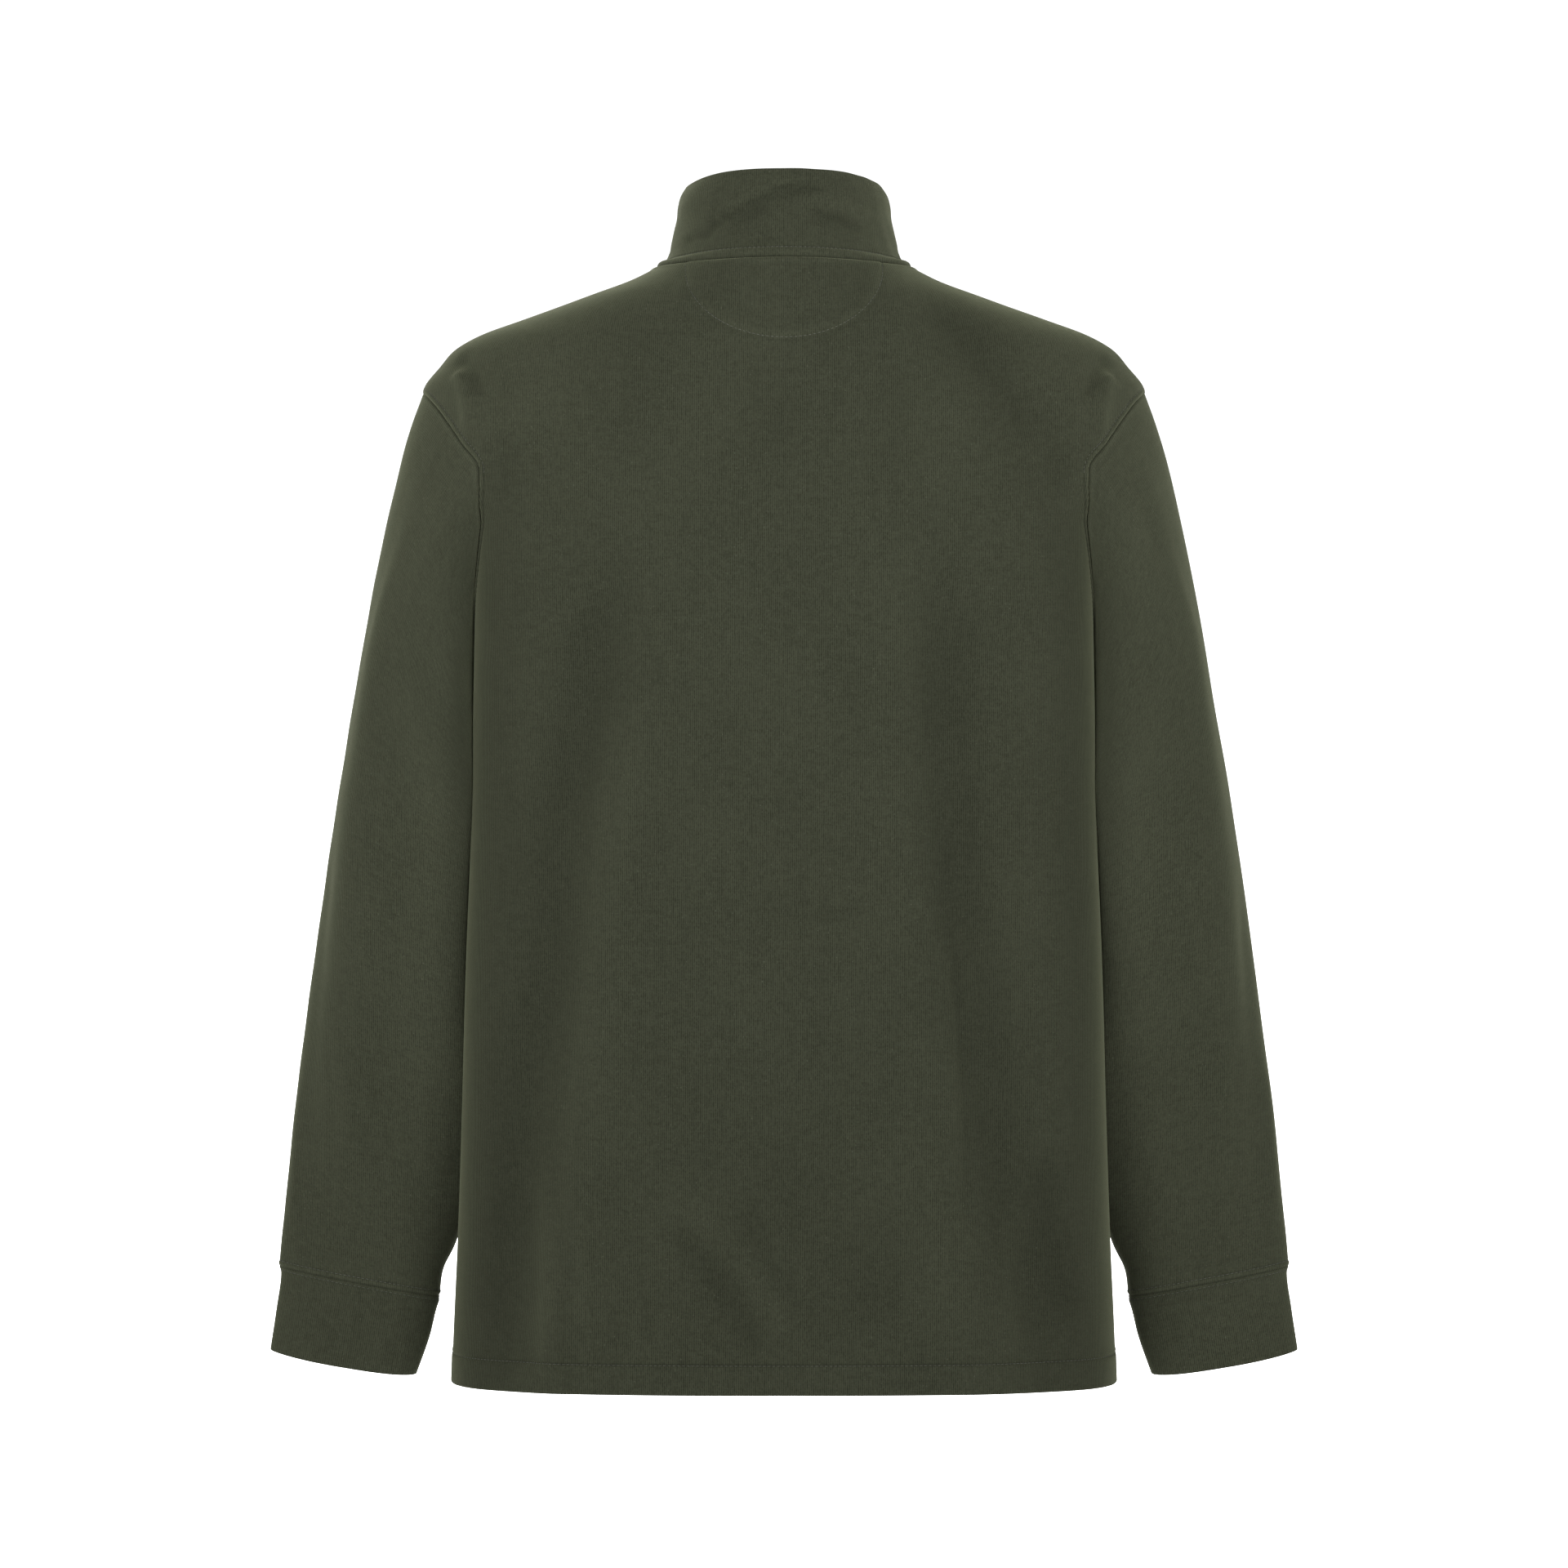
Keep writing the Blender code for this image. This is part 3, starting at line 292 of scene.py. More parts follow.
FINE_BACK_CREASES = table_of(Crease, (
    ((-0.105, -0.43), (-0.113, -0.505), (-0.1155, -0.63), 0.0026, -0.0012, 1.6),
    ((-0.0985, -0.43), (-0.1065, -0.505), (-0.1085, -0.64), 0.005, 0.0007),
    ((0.076, -0.598), (0.032, -0.632), (-0.008, -0.7), 0.007, 0.0016),
    ((0.08, -0.612), (0.044, -0.65), (0.01, -0.705), 0.008, -0.0018),
    ((0, -0.05), (0.0008, -0.105), (0, -0.17), 0.0024, -0.0006, 1.6),
    ((0.152, -0.56), (0.153, -0.64), (0.15, -0.722), 0.006, 0.0012),
    ((0.138, -0.6), (0.138, -0.66), (0.137, -0.722), 0.006, -0.0012),
    ((0.1245, -0.63), (0.125, -0.68), (0.124, -0.722), 0.0055, 0.0012),
    ((0.096, -0.66), (0.096, -0.69), (0.095, -0.722), 0.006, 0.0008),
    ((-0.15, -0.6), (-0.142, -0.65), (-0.146, -0.715), 0.009, 0.0014),
    ((-0.166, -0.56), (-0.172, -0.62), (-0.186, -0.69), 0.01, -0.002),
    ((-0.012, -0.382), (-0.03, -0.38), (-0.05, -0.385), 0.0045, -0.0006),
    ((-0.018, -0.412), (-0.036, -0.42), (-0.054, -0.409), 0.006, -0.001),
    ((0.211, -0.058), (0.203, -0.07), (0.194, -0.09), 0.0055, -0.0025),
    ((-0.211, -0.059), (-0.203, -0.072), (-0.193, -0.092), 0.0055, -0.0022),
    ((0.182, -0.105), (0.178, -0.13), (0.18, -0.165), 0.009, -0.001),
    ((-0.18, -0.1), (-0.175, -0.128), (-0.178, -0.16), 0.009, -0.0012),
    ((0.03, -0.585), (0.01, -0.64), (-0.03, -0.68), 0.007, -0.0008),
))
FINE_FRONT_CREASES = table_of(Crease, (
    ((0.04, -0.3), (0.05, -0.42), (0.048, -0.56), 0.011, 0.001),
    ((-0.03, -0.56), (-0.052, -0.62), (-0.06, -0.69), 0.008, -0.001),
    ((0.062, -0.6), (0.052, -0.65), (0.03, -0.695), 0.008, -0.001),
    ((0.02, -0.265), (0.06, -0.285), (0.11, -0.27), 0.01, -0.0012),
    ((-0.02, -0.268), (-0.058, -0.29), (-0.104, -0.282), 0.01, -0.0012),
    ((0.178, -0.4), (0.172, -0.5), (0.182, -0.6), 0.012, 0.0014),
    ((-0.176, -0.38), (-0.17, -0.5), (-0.18, -0.62), 0.012, 0.0014),
))
FINE_SLEEVE_CREASES = table_of(Crease, (
    ((0.045, 0.42), (0.05, 0.48), (0.046, 0.56), 0.005, -0.0008),
    ((0.02, 0.44), (0.016, 0.5), (0.02, 0.565), 0.006, 0.0008),
    ((-0.02, 0.3), (-0.044, 0.345), (-0.07, 0.35), 0.008, -0.0014),
    ((-0.018, 0.345), (-0.042, 0.385), (-0.066, 0.392), 0.008, 0.0012),
    ((-0.022, 0.44), (-0.03, 0.49), (-0.024, 0.55), 0.007, -0.001),
    ((0.05, 0.05), (0.06, 0.11), (0.056, 0.18), 0.01, 0.001),
))
COLLAR_CREASES = table_of(Crease, (
    ((0.056, 0.013), (0.022, 0.037), (-0.026, 0.047), 0.0042, -0.0016),
    ((0.05, 0.024), (0.018, 0.044), (-0.01, 0.052), 0.004, 0.0008),
    ((0.014, 0.0465), (-0.007, 0.047), (-0.03, 0.0455), 0.002, -0.0016, 1.6),
    ((0.064, 0.016), (0.055, 0.018), (0.044, 0.016), 0.003, -0.001),
    ((0.046, 0.03), (0.034, 0.032), (0.018, 0.038), 0.0045, 0.001),
    ((-0.014, 0.031), (-0.034, 0.027), (-0.052, 0.019), 0.005, -0.0014),
    ((-0.012, 0.04), (-0.036, 0.037), (-0.056, 0.03), 0.005, 0.0009),
    ((0.02, 0.011), (0.01, 0.012), (-0.002, 0.011), 0.0022, -0.0007),
    ((0.054, 0.031), (0.03, 0.029), (0.004, 0.036), 0.006, -0.0013),
))


class Side(Enum):
    """The wearer's two sides."""

    LEFT = 1
    RIGHT = -1

    @property
    def ending(self) -> str:
        """What the names of this side's pieces end with."""
        return self.name.lower()


class Hold(Enum):
    """How a cut sheet of cloth is held."""

    HUNG = "hung"
    LAID = "laid"
    FOLDED = "folded"


# Reading the tables


def column(table: Sequence[NamedTuple], name: str) -> Grid:
    """One named column of a table, as an array."""
    return np.array([getattr(row, name) for row in table], float)


def through(keys: Grid, values: Grid, at: Grid | float) -> Grid:
    """A smooth curve through values at rising keys, with no overshoot.

    Args:
        keys: The rising keys.
        values: The value at each key.
        at: Where the curve is read.

    Returns:
        The curve's values there.
    """
    steps = np.diff(keys)
    slopes = np.diff(values) / steps
    tangents = np.empty(len(values))
    tangents[0], tangents[-1] = slopes[0], slopes[-1]
    mixed = (slopes[:-1] * steps[1:] + slopes[1:] * steps[:-1]) / (steps[:-1] + steps[1:])
    tangents[1:-1] = np.where(slopes[:-1] * slopes[1:] > 0, mixed, 0.0)
    at = np.clip(at, keys[0], keys[-1])
    i = np.clip(np.searchsorted(keys, at, side="right") - 1, 0, len(keys) - 2)
    t = (at - keys[i]) / steps[i]
    return (
        values[i] * (1 + 2 * t) * (1 - t) ** 2
        + values[i + 1] * t * t * (3 - 2 * t)
        + steps[i] * (tangents[i] * t * (1 - t) ** 2 - tangents[i + 1] * t * t * (1 - t))
    )


def read(table: Sequence[NamedTuple], keys: Grid, at: Grid | float) -> NamedTuple:
    """Every column of a table, read smoothly at one or more places along its keys."""
    row_type = type(table[0])
    return row_type(*(through(keys, column(table, name), at) for name in row_type._fields))


def power_of(value: Grid, exponent: Grid | float) -> Grid:
    """A power that keeps the sign, for rounded rectangles."""
    return np.sign(value) * np.abs(value) ** exponent


def unit(vectors: Grid) -> Grid:
    """The vectors at length 1."""
    return vectors / np.maximum(np.linalg.norm(vectors, axis=-1, keepdims=True), 1e-12)


def soft_step(value: Grid) -> Grid:
    """0 up to 0, 1 from 1, and a smooth rise between."""
    value = np.clip(value, 0.0, 1.0)
    return value * value * (3 - 2 * value)


class Fade(NamedTuple):
    """A smooth rise from 0 to 1 that begins at a start. With a length under 0 it rises downwards."""

    start: float
    over: float

    def at(self, value: Grid) -> Grid:
        """How much of the rise is reached at each value."""
        return soft_step((value - self.start) / self.over)


class Hump(NamedTuple):
    """A smooth hump of height 1."""

    middle: float
    width: float

    def at(self, value: Grid) -> Grid:
        """The hump's height at each value."""
        return np.exp(-(((value - self.middle) / self.width) ** 2))


def crowded(count: int, fine_start: float = 1.0, fine_end: float = 1.0, ramp: int = 14) -> Grid:
    """Shares from 0 to 1 whose steps are smaller towards one end or both.

    Args:
        count: The number of steps.
        fine_start: The first step, as a share of a middle one.
        fine_end: The last step, as a share of a middle one.
        ramp: The number of steps over which the size changes.

    Returns:
        count + 1 rising shares.
    """
    place = np.arange(count)
    sizes = fine_start + (1 - fine_start) * soft_step(place / ramp)
    sizes = np.minimum(sizes, fine_end + (1 - fine_end) * soft_step((count - 1 - place) / ramp))
    return shares_of(sizes)


def shares_of(steps: Grid) -> Grid:
    """Rising shares from 0 to 1, given the size of each step."""
    walked = np.concatenate([[0], np.cumsum(steps)])
    return walked / walked[-1]


def lengths_along(points: Grid, axis: int = 0) -> Grid:
    """Distance walked along an axis of a grid of points, from its first one."""
    steps = np.linalg.norm(np.diff(points, axis=axis), axis=-1)
    walked = np.cumsum(steps, axis=axis)
    start = np.zeros_like(np.take(walked, [0], axis=axis))
    return np.concatenate([start, walked], axis=axis)


def crease_height(creases: Iterable[Crease], across: Grid, along: Grid, fade_top: float = 4.0,
                  fade_foot: float = 5.0, foot_left: float = 0.35) -> Grid:
    """How far creases push the cloth out.

    Args:
        creases: The creases.
        across: Each point's first coordinate on the cloth.
        along: Its second.
        fade_top: A crease reaches its depth over one part in this many of its length.
        fade_foot: And fades over one part in this many at its foot.
        foot_left: The share of its depth that it keeps there.

    Returns:
        The push at each point.
    """
    total = np.zeros(np.shape(across))
    share = np.linspace(0.0, 1.0, 33)
    for crease in creases:
        top, middle, bottom = (np.array(point) for point in crease[:3])
        handle = 2 * middle - (top + bottom) / 2
        line = (
            np.outer((1 - share) ** 2, top)
            + np.outer(2 * share * (1 - share), handle)
            + np.outer(share**2, bottom)
        )
        reach = 3.2 * crease.width
        low, high = line.min(axis=0) - reach, line.max(axis=0) + reach
        near = (across > low[0]) & (across < high[0]) & (along > low[1]) & (along < high[1])
        if not near.any():
            continue
        spots = np.stack([across[near], along[near]], axis=-1)
        best = np.full(len(spots), np.inf)
        nearest = np.zeros(len(spots))
        for step in range(len(line) - 1):
            run = line[step + 1] - line[step]
            t = np.clip(((spots - line[step]) @ run) / max(run @ run, 1e-12), 0, 1)
            away = np.linalg.norm(spots - line[step] - t[:, None] * run, axis=1)
            closer = away < best
            best = np.where(closer, away, best)
            nearest = np.where(closer, share[step] + t * (share[1] - share[0]), nearest)
        fade = soft_step(nearest * fade_top) * soft_step((1 - nearest) * fade_foot + foot_left)
        total[near] += crease.depth * np.exp(-((best / crease.width) ** crease.round)) * fade
    return total


def ripple(across: Grid, along: Grid, size: float, seed: int) -> Grid:
    """Slow unevenness between about -1 and 1, the same on each run.

    Args:
        across: Each point's first coordinate.
        along: Its second.
        size: The ripple's wavelength.
        seed: Picks its pattern.

    Returns:
        The ripple at each point.
    """
    draw = np.random.default_rng(seed)
    total = np.zeros(np.shape(across))
    for _ in range(7):
        turn, phase = draw.uniform(0, 2 * math.pi, 2)
        pitch = size * draw.uniform(0.7, 1.6)
        total += np.sin((across * math.cos(turn) + along * math.sin(turn)) * 2 * math.pi / pitch + phase)
    return total / 4


def along_line(at: Grid | float, walked: Grid, line: Grid) -> Grid:
    """Points at distances along a line of points, given the distance walked to each of those."""
    return np.stack([np.interp(at, walked, line[:, axis]) for axis in range(3)], axis=-1)


# The form


@dataclass(frozen=True)
class TorsoForm:
    """The torso's outer face, as levels and angles.

    Angle 0 is the wearer's left side, 90 degrees the centre back and -90 the centre front.
    """

    hem_raise: float = 0.0006
    hem_stitches: float = 0.0195
    hem_end: float = 0.0245
    slot_half: float = 0.0130
    band_overlap: float = 0.0025
    turn_step: float = 0.004
    rise_step: float = 0.0015
    side_fade: float = 2.5
    uneven: float = 0.00035
    uneven_size: float = 0.06

    def ring(self, level: Grid | float) -> Ring:
        """The ring at one or more levels."""
        return read(TORSO, column(TORSO, "level"), level)

    def plain(self, level: Grid | float, angle: Grid | float) -> Grid:
        """Points before the creases.

        Args:
            level: Heights.
            angle: Turns about the body, from the wearer's left side by the back.

        Returns:
            The points of the outer face.
        """
        ring = self.ring(level)
        cosine, sine = np.cos(angle), np.sin(angle)
        behind = sine >= 0
        reach = np.where(behind, ring.back_y - ring.widest_y, ring.widest_y - ring.front_y)
        drop = np.where(behind, ring.back_drop, ring.front_drop)
        square = np.where(behind, ring.back_square, ring.front_square)
        x = ring.half_width * power_of(cosine, 2 / square)
        y = ring.widest_y + reach * power_of(sine, 2 / square)
        return np.stack([x, y, level - drop * sine**2], axis=-1)

    def creased(self, spot: Grid, angle: Grid) -> tuple[Grid, Grid]:
        """How far the main and the fine creases push each point out.

        Args:
            spot: The points, before the creases.
            angle: Their turns about the body.

        Returns:
            The push of the main creases, and that of the fine ones.
        """
        x, z = spot[..., 0], spot[..., 2]
        band_edge = self.slot_half + self.band_overlap
        beside_bands = soft_step((np.abs(x) - band_edge) / (2 * band_edge))
        back = soft_step(self.side_fade * np.sin(angle))
        front = soft_step(-self.side_fade * np.sin(angle)) * beside_bands
        main = back * crease_height(BACK_CREASES, x, z) + front * crease_height(FRONT_CREASES, x, z)
        fine = back * crease_height(FINE_BACK_CREASES, x, z, foot_left=0.0)
        fine += front * crease_height(FINE_FRONT_CREASES, x, z, foot_left=0.0)
        ripples = (ripple(x, z, self.uneven_size, seed) for seed in (3, 4))
        return main, fine + self.uneven * (back * next(ripples) + front * next(ripples))

    def point(self, level: Grid | float, angle: Grid | float) -> Grid:
        """Points of the outer face, with the creases and the raised hem."""
        level, angle = np.broadcast_arrays(np.asarray(level, float), np.asarray(angle, float))
        spot = self.plain(level, angle)
        across = self.plain(level, angle + self.turn_step) - self.plain(level, angle - self.turn_step)
        along = self.plain(level + self.rise_step, angle) - self.plain(level - self.rise_step, angle)
        push = sum(self.creased(spot, angle))
        above = (level - HEM_LEVEL - self.hem_stitches) / (self.hem_end - self.hem_stitches)
        push += self.hem_raise * (1 - soft_step(above))
        return spot + unit(np.cross(across, along)) * push[..., None]

    def angle_at_y(self, level: Grid | float, y: Grid | float) -> Grid:
        """The angle, on the wearer's left side, at which a ring passes this y."""
        ring = self.ring(level)
        behind = y >= ring.widest_y
        reach = np.where(behind, ring.back_y - ring.widest_y, ring.widest_y - ring.front_y)
        square = np.where(behind, ring.back_square, ring.front_square)
        return np.arcsin(power_of((y - ring.widest_y) / reach, square / 2))

    def angles_round(self, level: float, start: float, stop: float, shares: Grid) -> Grid:
        """Angles on a ring at given shares of its length from start to stop."""
        fine = np.linspace(start, stop, 240)
        walked = lengths_along(self.plain(level, fine))
        return np.interp(shares * walked[-1], walked, fine)

    def armhole_level(self, share: Grid | float) -> Grid:
        """The level of the armhole's points, which crowd at its two rounded ends."""
        return UNDERARM_LEVEL + (SHOULDER_TIP_LEVEL - UNDERARM_LEVEL) * (1 - np.cos(math.pi * share)) / 2

    def armhole_loop(self, turns: Grid, side: Side) -> Grid:
        """The armhole as if on the left: turn 0 is the shoulder tip, over 0 is in front."""
        share = 1 - np.abs(turns) / math.pi
        edge = read(ARMHOLE, column(ARMHOLE, "share"), share)
        level = self.armhole_level(share)
        angle = self.angle_at_y(level, np.where(turns >= 0, edge.front_y, edge.back_y))
        points = self.point(level, angle if side is Side.LEFT else math.pi - angle)
        return points * (side.value, 1, 1)


@dataclass(frozen=True)
class SleeveForm:
    """The sleeves' and cuffs' outer faces, as if on the left."""

    torso: TorsoForm
    armhole_steps: int
    beside_square: float = 1.55
    touch_gap: float = 0.0002
    tuck: float = 0.009
    tuck_in: Fade = Fade(0.0, 0.10)
    tuck_out: Fade = Fade(0.62, 0.25)
    tuck_behind: Fade = Fade(0.0, -0.35)
    tuck_round: float = 0.6
    touch_blend: float = 0.0010
    touch_in: Fade = Fade(0.0, 0.08)
    armhole_fade: float = 0.34
    top_fade: float = 6.0
    foot_fade: float = 8.0
    off_body: float = 0.03
    uneven: float = 0.0003
    uneven_size: float = 0.05

    @property
    def turns(self) -> Grid:
        """Turns round a section: from the underarm, by the back and the outer edge, to it again."""
        return np.linspace(-math.pi, math.pi, 2 * self.armhole_steps + 1)

    def section(self, row: SleeveSection | CuffSection, inner_x: Grid, turn: Grid) -> Grid:
        """Points of a section, flatter behind beside the body. Turn 0 is its outer edge, 90 degrees
        its front."""
        beside = (np.cos(turn) < 0) & (np.sin(turn) < 0)
        square = row.square * np.where(beside, self.beside_square, 1.0)
        out, ahead = power_of(np.cos(turn), 2 / square), power_of(np.sin(turn), 2 / square)
        x = (row.outer_x + inner_x) / 2 + out * (row.outer_x - inner_x) / 2
        z = (row.outer_z + row.inner_z) / 2 + out * (row.outer_z - row.inner_z) / 2
        return np.stack([x, row.middle_y - ahead * row.half_depth, z], axis=-1)

    def plain(self, share: Grid | float) -> Grid:
        """Sections of the sleeve before the armhole's own outline and the creases."""
        row = read(SLEEVE, np.linspace(0.0, 1.0, len(SLEEVE)), share)
        beside = self.torso.plain(row.inner_z, self.torso.angle_at_y(row.inner_z, row.middle_y))[..., 0]
        points = self.section(row, beside + row.side_gap, self.turns)
        reach = self.tuck_in.at(share) * (1 - self.tuck_out.at(share))
        inward = np.clip(-np.cos(self.turns), 0, 1) ** self.tuck_round
        inward = inward * self.tuck_behind.at(np.sin(self.turns))
        points[..., 0] -= self.tuck * reach * inward
        return points

    def _clear_of_torso(self, points: Grid, shares: Grid) -> Grid:
        """Lays points that would be inside the torso's side against it."""
        level = np.maximum(points[..., 2], HEM_LEVEL)
        side_x = self.torso.plain(level, self.torso.angle_at_y(level, points[..., 1]))[..., 0]
        started = self.touch_in.at(shares)
        inside = side_x + self.touch_gap * started - points[..., 0]
        blend = self.touch_blend * started + 1e-6
        points[..., 0] += (inside + np.sqrt(inside**2 + blend**2)) / 2 * started
        return points

    def grid(self, side: Side, shares: Grid) -> Grid:
        """The sleeve's outer points, row by row from the armhole to the cuff seam.

        Args:
            side: Which sleeve.
            shares: How far down the sleeve each row is.

        Returns:
            The rows of points.
        """
        shares = shares[:, None]
        points = self.plain(shares)
        own_outline = self.torso.armhole_loop(self.turns, side) - self.plain(np.array([[0.0]]))[0]
        points += own_outline * (1 - soft_step(shares / self.armhole_fade))[..., None]
        points = self._clear_of_torso(points, shares)
        outer = self.armhole_steps
        down = np.linalg.norm(points - points[:1, outer : outer + 1], axis=-1)
        walked = lengths_along(points, axis=1)
        behind = walked[:, outer : outer + 1] - walked
        creases = LEFT_SLEEVE_CREASES if side is Side.LEFT else RIGHT_SLEEVE_CREASES
        push = crease_height(creases, behind, down)
        fine = crease_height(FINE_SLEEVE_CREASES, behind, down, foot_left=0.0)
        clear_of_body = soft_step((walked[:, -1:] / 2 - np.abs(behind)) / self.off_body)
        uneven = self.uneven * ripple(behind, down, self.uneven_size, 5 + side.value)
        push += clear_of_body * (fine + uneven)
        push *= soft_step(shares * self.top_fade) * soft_step((1 - shares) * self.foot_fade)
        return points + grid_normals(points, closed=True) * push[..., None]

    def cuff_grid(self, seam_ring: Grid, shares: Grid) -> Grid:
        """The cuff's outer points, from the sleeve's last ring to the cuff's edge."""
        keys = column(CUFF, "share")
        row = read(CUFF, keys, shares[:, None])
        points = self.section(row, row.inner_x, self.turns)
        points[..., 2] -= row.sag * np.sin(self.turns) ** 2
        start = self.section(CUFF[0], CUFF[0].inner_x, self.turns)
        return points + (seam_ring - start) * (1 - soft_step(shares / keys[1]))[:, None, None]


@dataclass(frozen=True)
class CollarForm:
    """The stand collar's outer face."""

    slot_half: float
    blend_share: float = 0.08
    creased_behind: Fade = Fade(0.0, 0.02)
    uneven: float = 0.0003
    uneven_size: float = 0.028
    uneven_up: Fade = Fade(0.0, 0.01)

    def point(self, share: Grid | float, angle: Grid | float) -> Grid:
        """Points of the face, at a share of its height and an angle about the neck."""
        row = read(COLLAR, column(COLLAR, "share"), share)
        cosine, sine = np.cos(angle), np.sin(angle)
        behind = sine >= 0
        y = np.where(behind, row.back_y, -row.front_y) * sine
        back_z = row.side_z + (row.back_z - row.side_z) * (1 - cosine**4)
        front_z = row.side_z + (row.front_z - row.side_z) * sine**2
        return np.stack([row.half_width * cosine, y, np.where(behind, back_z, front_z)], axis=-1)

    def slot_angle(self, share: float, x: Grid | float) -> Grid:
        """The angle in front at which the collar's ring passes this x."""
        half_width = read(COLLAR, column(COLLAR, "share"), share).half_width
        return -np.arccos(x / half_width)

    def grid(self, neck: Grid, angles: Grid, front_columns: int, shares: Grid) -> Grid:
        """The collar's outer points, from the slot's left edge round the back to its right edge.

        Args:
            neck: The points of the panels' neck edge.
            angles: Their angles.
            front_columns: How many steps lie between the slot and the shoulder seam.
            shares: The share of the collar's height at each row.

        Returns:
            The grid, with the neck edge as its first row.
        """
        rows = []
        left, behind = angles[: front_columns + 1], angles[front_columns + 1 : -front_columns - 1]
        for share in shares:
            slot = float(self.slot_angle(share, self.slot_half))
            turned = np.interp(left, (left[0], left[-1]), (slot, left[-1]))
            round_neck = np.concatenate([turned, behind, math.pi - turned[::-1]])
            at_seam = self.point(0.0, angles)
            fade = 1 - soft_step(share / self.blend_share)
            rows.append(self.point(share, round_neck) + (neck - at_seam) * fade)
        grid = np.array(rows)
        x, up = grid[..., 0], lengths_along(grid, axis=0)
        push = crease_height(COLLAR_CREASES, x, up, foot_left=0.0) * self.creased_behind.at(grid[..., 1])
        push += self.uneven * ripple(x + grid[..., 1], up, self.uneven_size, 9) * self.uneven_up.at(up)
        return grid + grid_normals(grid) * push[..., None]


def grid_normals(grid: Grid, closed: bool = False) -> Grid:
    """Outward directions at a grid's points. A closed grid's last column is its first."""
    if closed:
        loop = grid[:, :-1]
        across = np.roll(loop, -1, axis=1) - np.roll(loop, 1, axis=1)
        across = np.concatenate([across, across[:, :1]], axis=1)
    else:
        across = np.gradient(grid, axis=1)
    return unit(np.cross(across, np.gradient(grid, axis=0)))


# Pieces of cloth


def write_shade(mesh: bpy.types.Mesh, shade: Grid) -> None:
    """Keeps each point's painted shade as an attribute, for the finish to read: over 0 darker, under 0
    painted light.
    """
    layer = mesh.attributes.new(SHADE, "FLOAT", "POINT")
    layer.data.foreach_set("value", shade.astype(np.float32))


def joined(shapes: Iterable[Shape]) -> Shape:
    """Several shapes as one."""
    points, faces, count = [], [], 0
    for spots, corners in shapes:
        points.append(spots)
        faces += [[count + corner for corner in face] for face in corners]
        count += len(spots)
    return np.concatenate(points), faces


def mesh_of(name: str, points: Grid, faces: Sequence[Sequence[int]]) -> bpy.types.Mesh:
    """A smooth mesh."""
    mesh = bpy.data.meshes.new(name)
    mesh.from_pydata(points.tolist(), [], faces)
    mesh.shade_smooth()
    return mesh


def tree_of(spots: Sequence[Grid]) -> KDTree:
    """A search tree of points."""
    tree = KDTree(len(spots))
    for index, spot in enumerate(spots):
        tree.insert(spot, index)
    tree.balance()
    return tree


@dataclass(frozen=True)
class SeamRelief:
    """How cloth lies beside a seam: a valley in the seam, a ridge over the folded allowance,
    and a groove under a row of stitches."""

    valley: float
    ridge: float = 0.0
    ridge_at: float = 0.0022
    ridge_width: float = 0.0014
    groove: float = 0.0
    groove_at: float = 0.0045
    groove_width: float = 0.0008
    valley_width: float = 0.0008
    shadow: float = 0.6
    groove_shadow: float = 0.6
    ridge_light: float = 0.35

    def _shares(self, distance: Grid) -> list[Grid]:
        """How much of the valley, of the ridge and of the groove lies at each distance."""
        humps = (Hump(0.0, self.valley_width), Hump(self.ridge_at, self.ridge_width),
                 Hump(self.groove_at, self.groove_width))
        return [hump.at(distance) for hump in humps]

    def push(self, distance: Grid) -> Grid:
        """How far the cloth stands out at each distance from the seam."""
        valley, ridge, groove = self._shares(distance)
        return self.ridge * ridge - self.valley * valley - self.groove * groove

    def shade(self, distance: Grid) -> Grid:
        """How dark the cloth is there: painted shade over 0 in the valley and the groove, and painted light
        under 0 on the ridge.
        """
        valley, ridge, groove = self._shares(distance)
        hollow = (self.valley > 0) * valley + self.groove_shadow * (self.groove > 0) * groove
        return self.shadow * (hollow - self.ridge_light * (self.ridge > 0) * ridge)


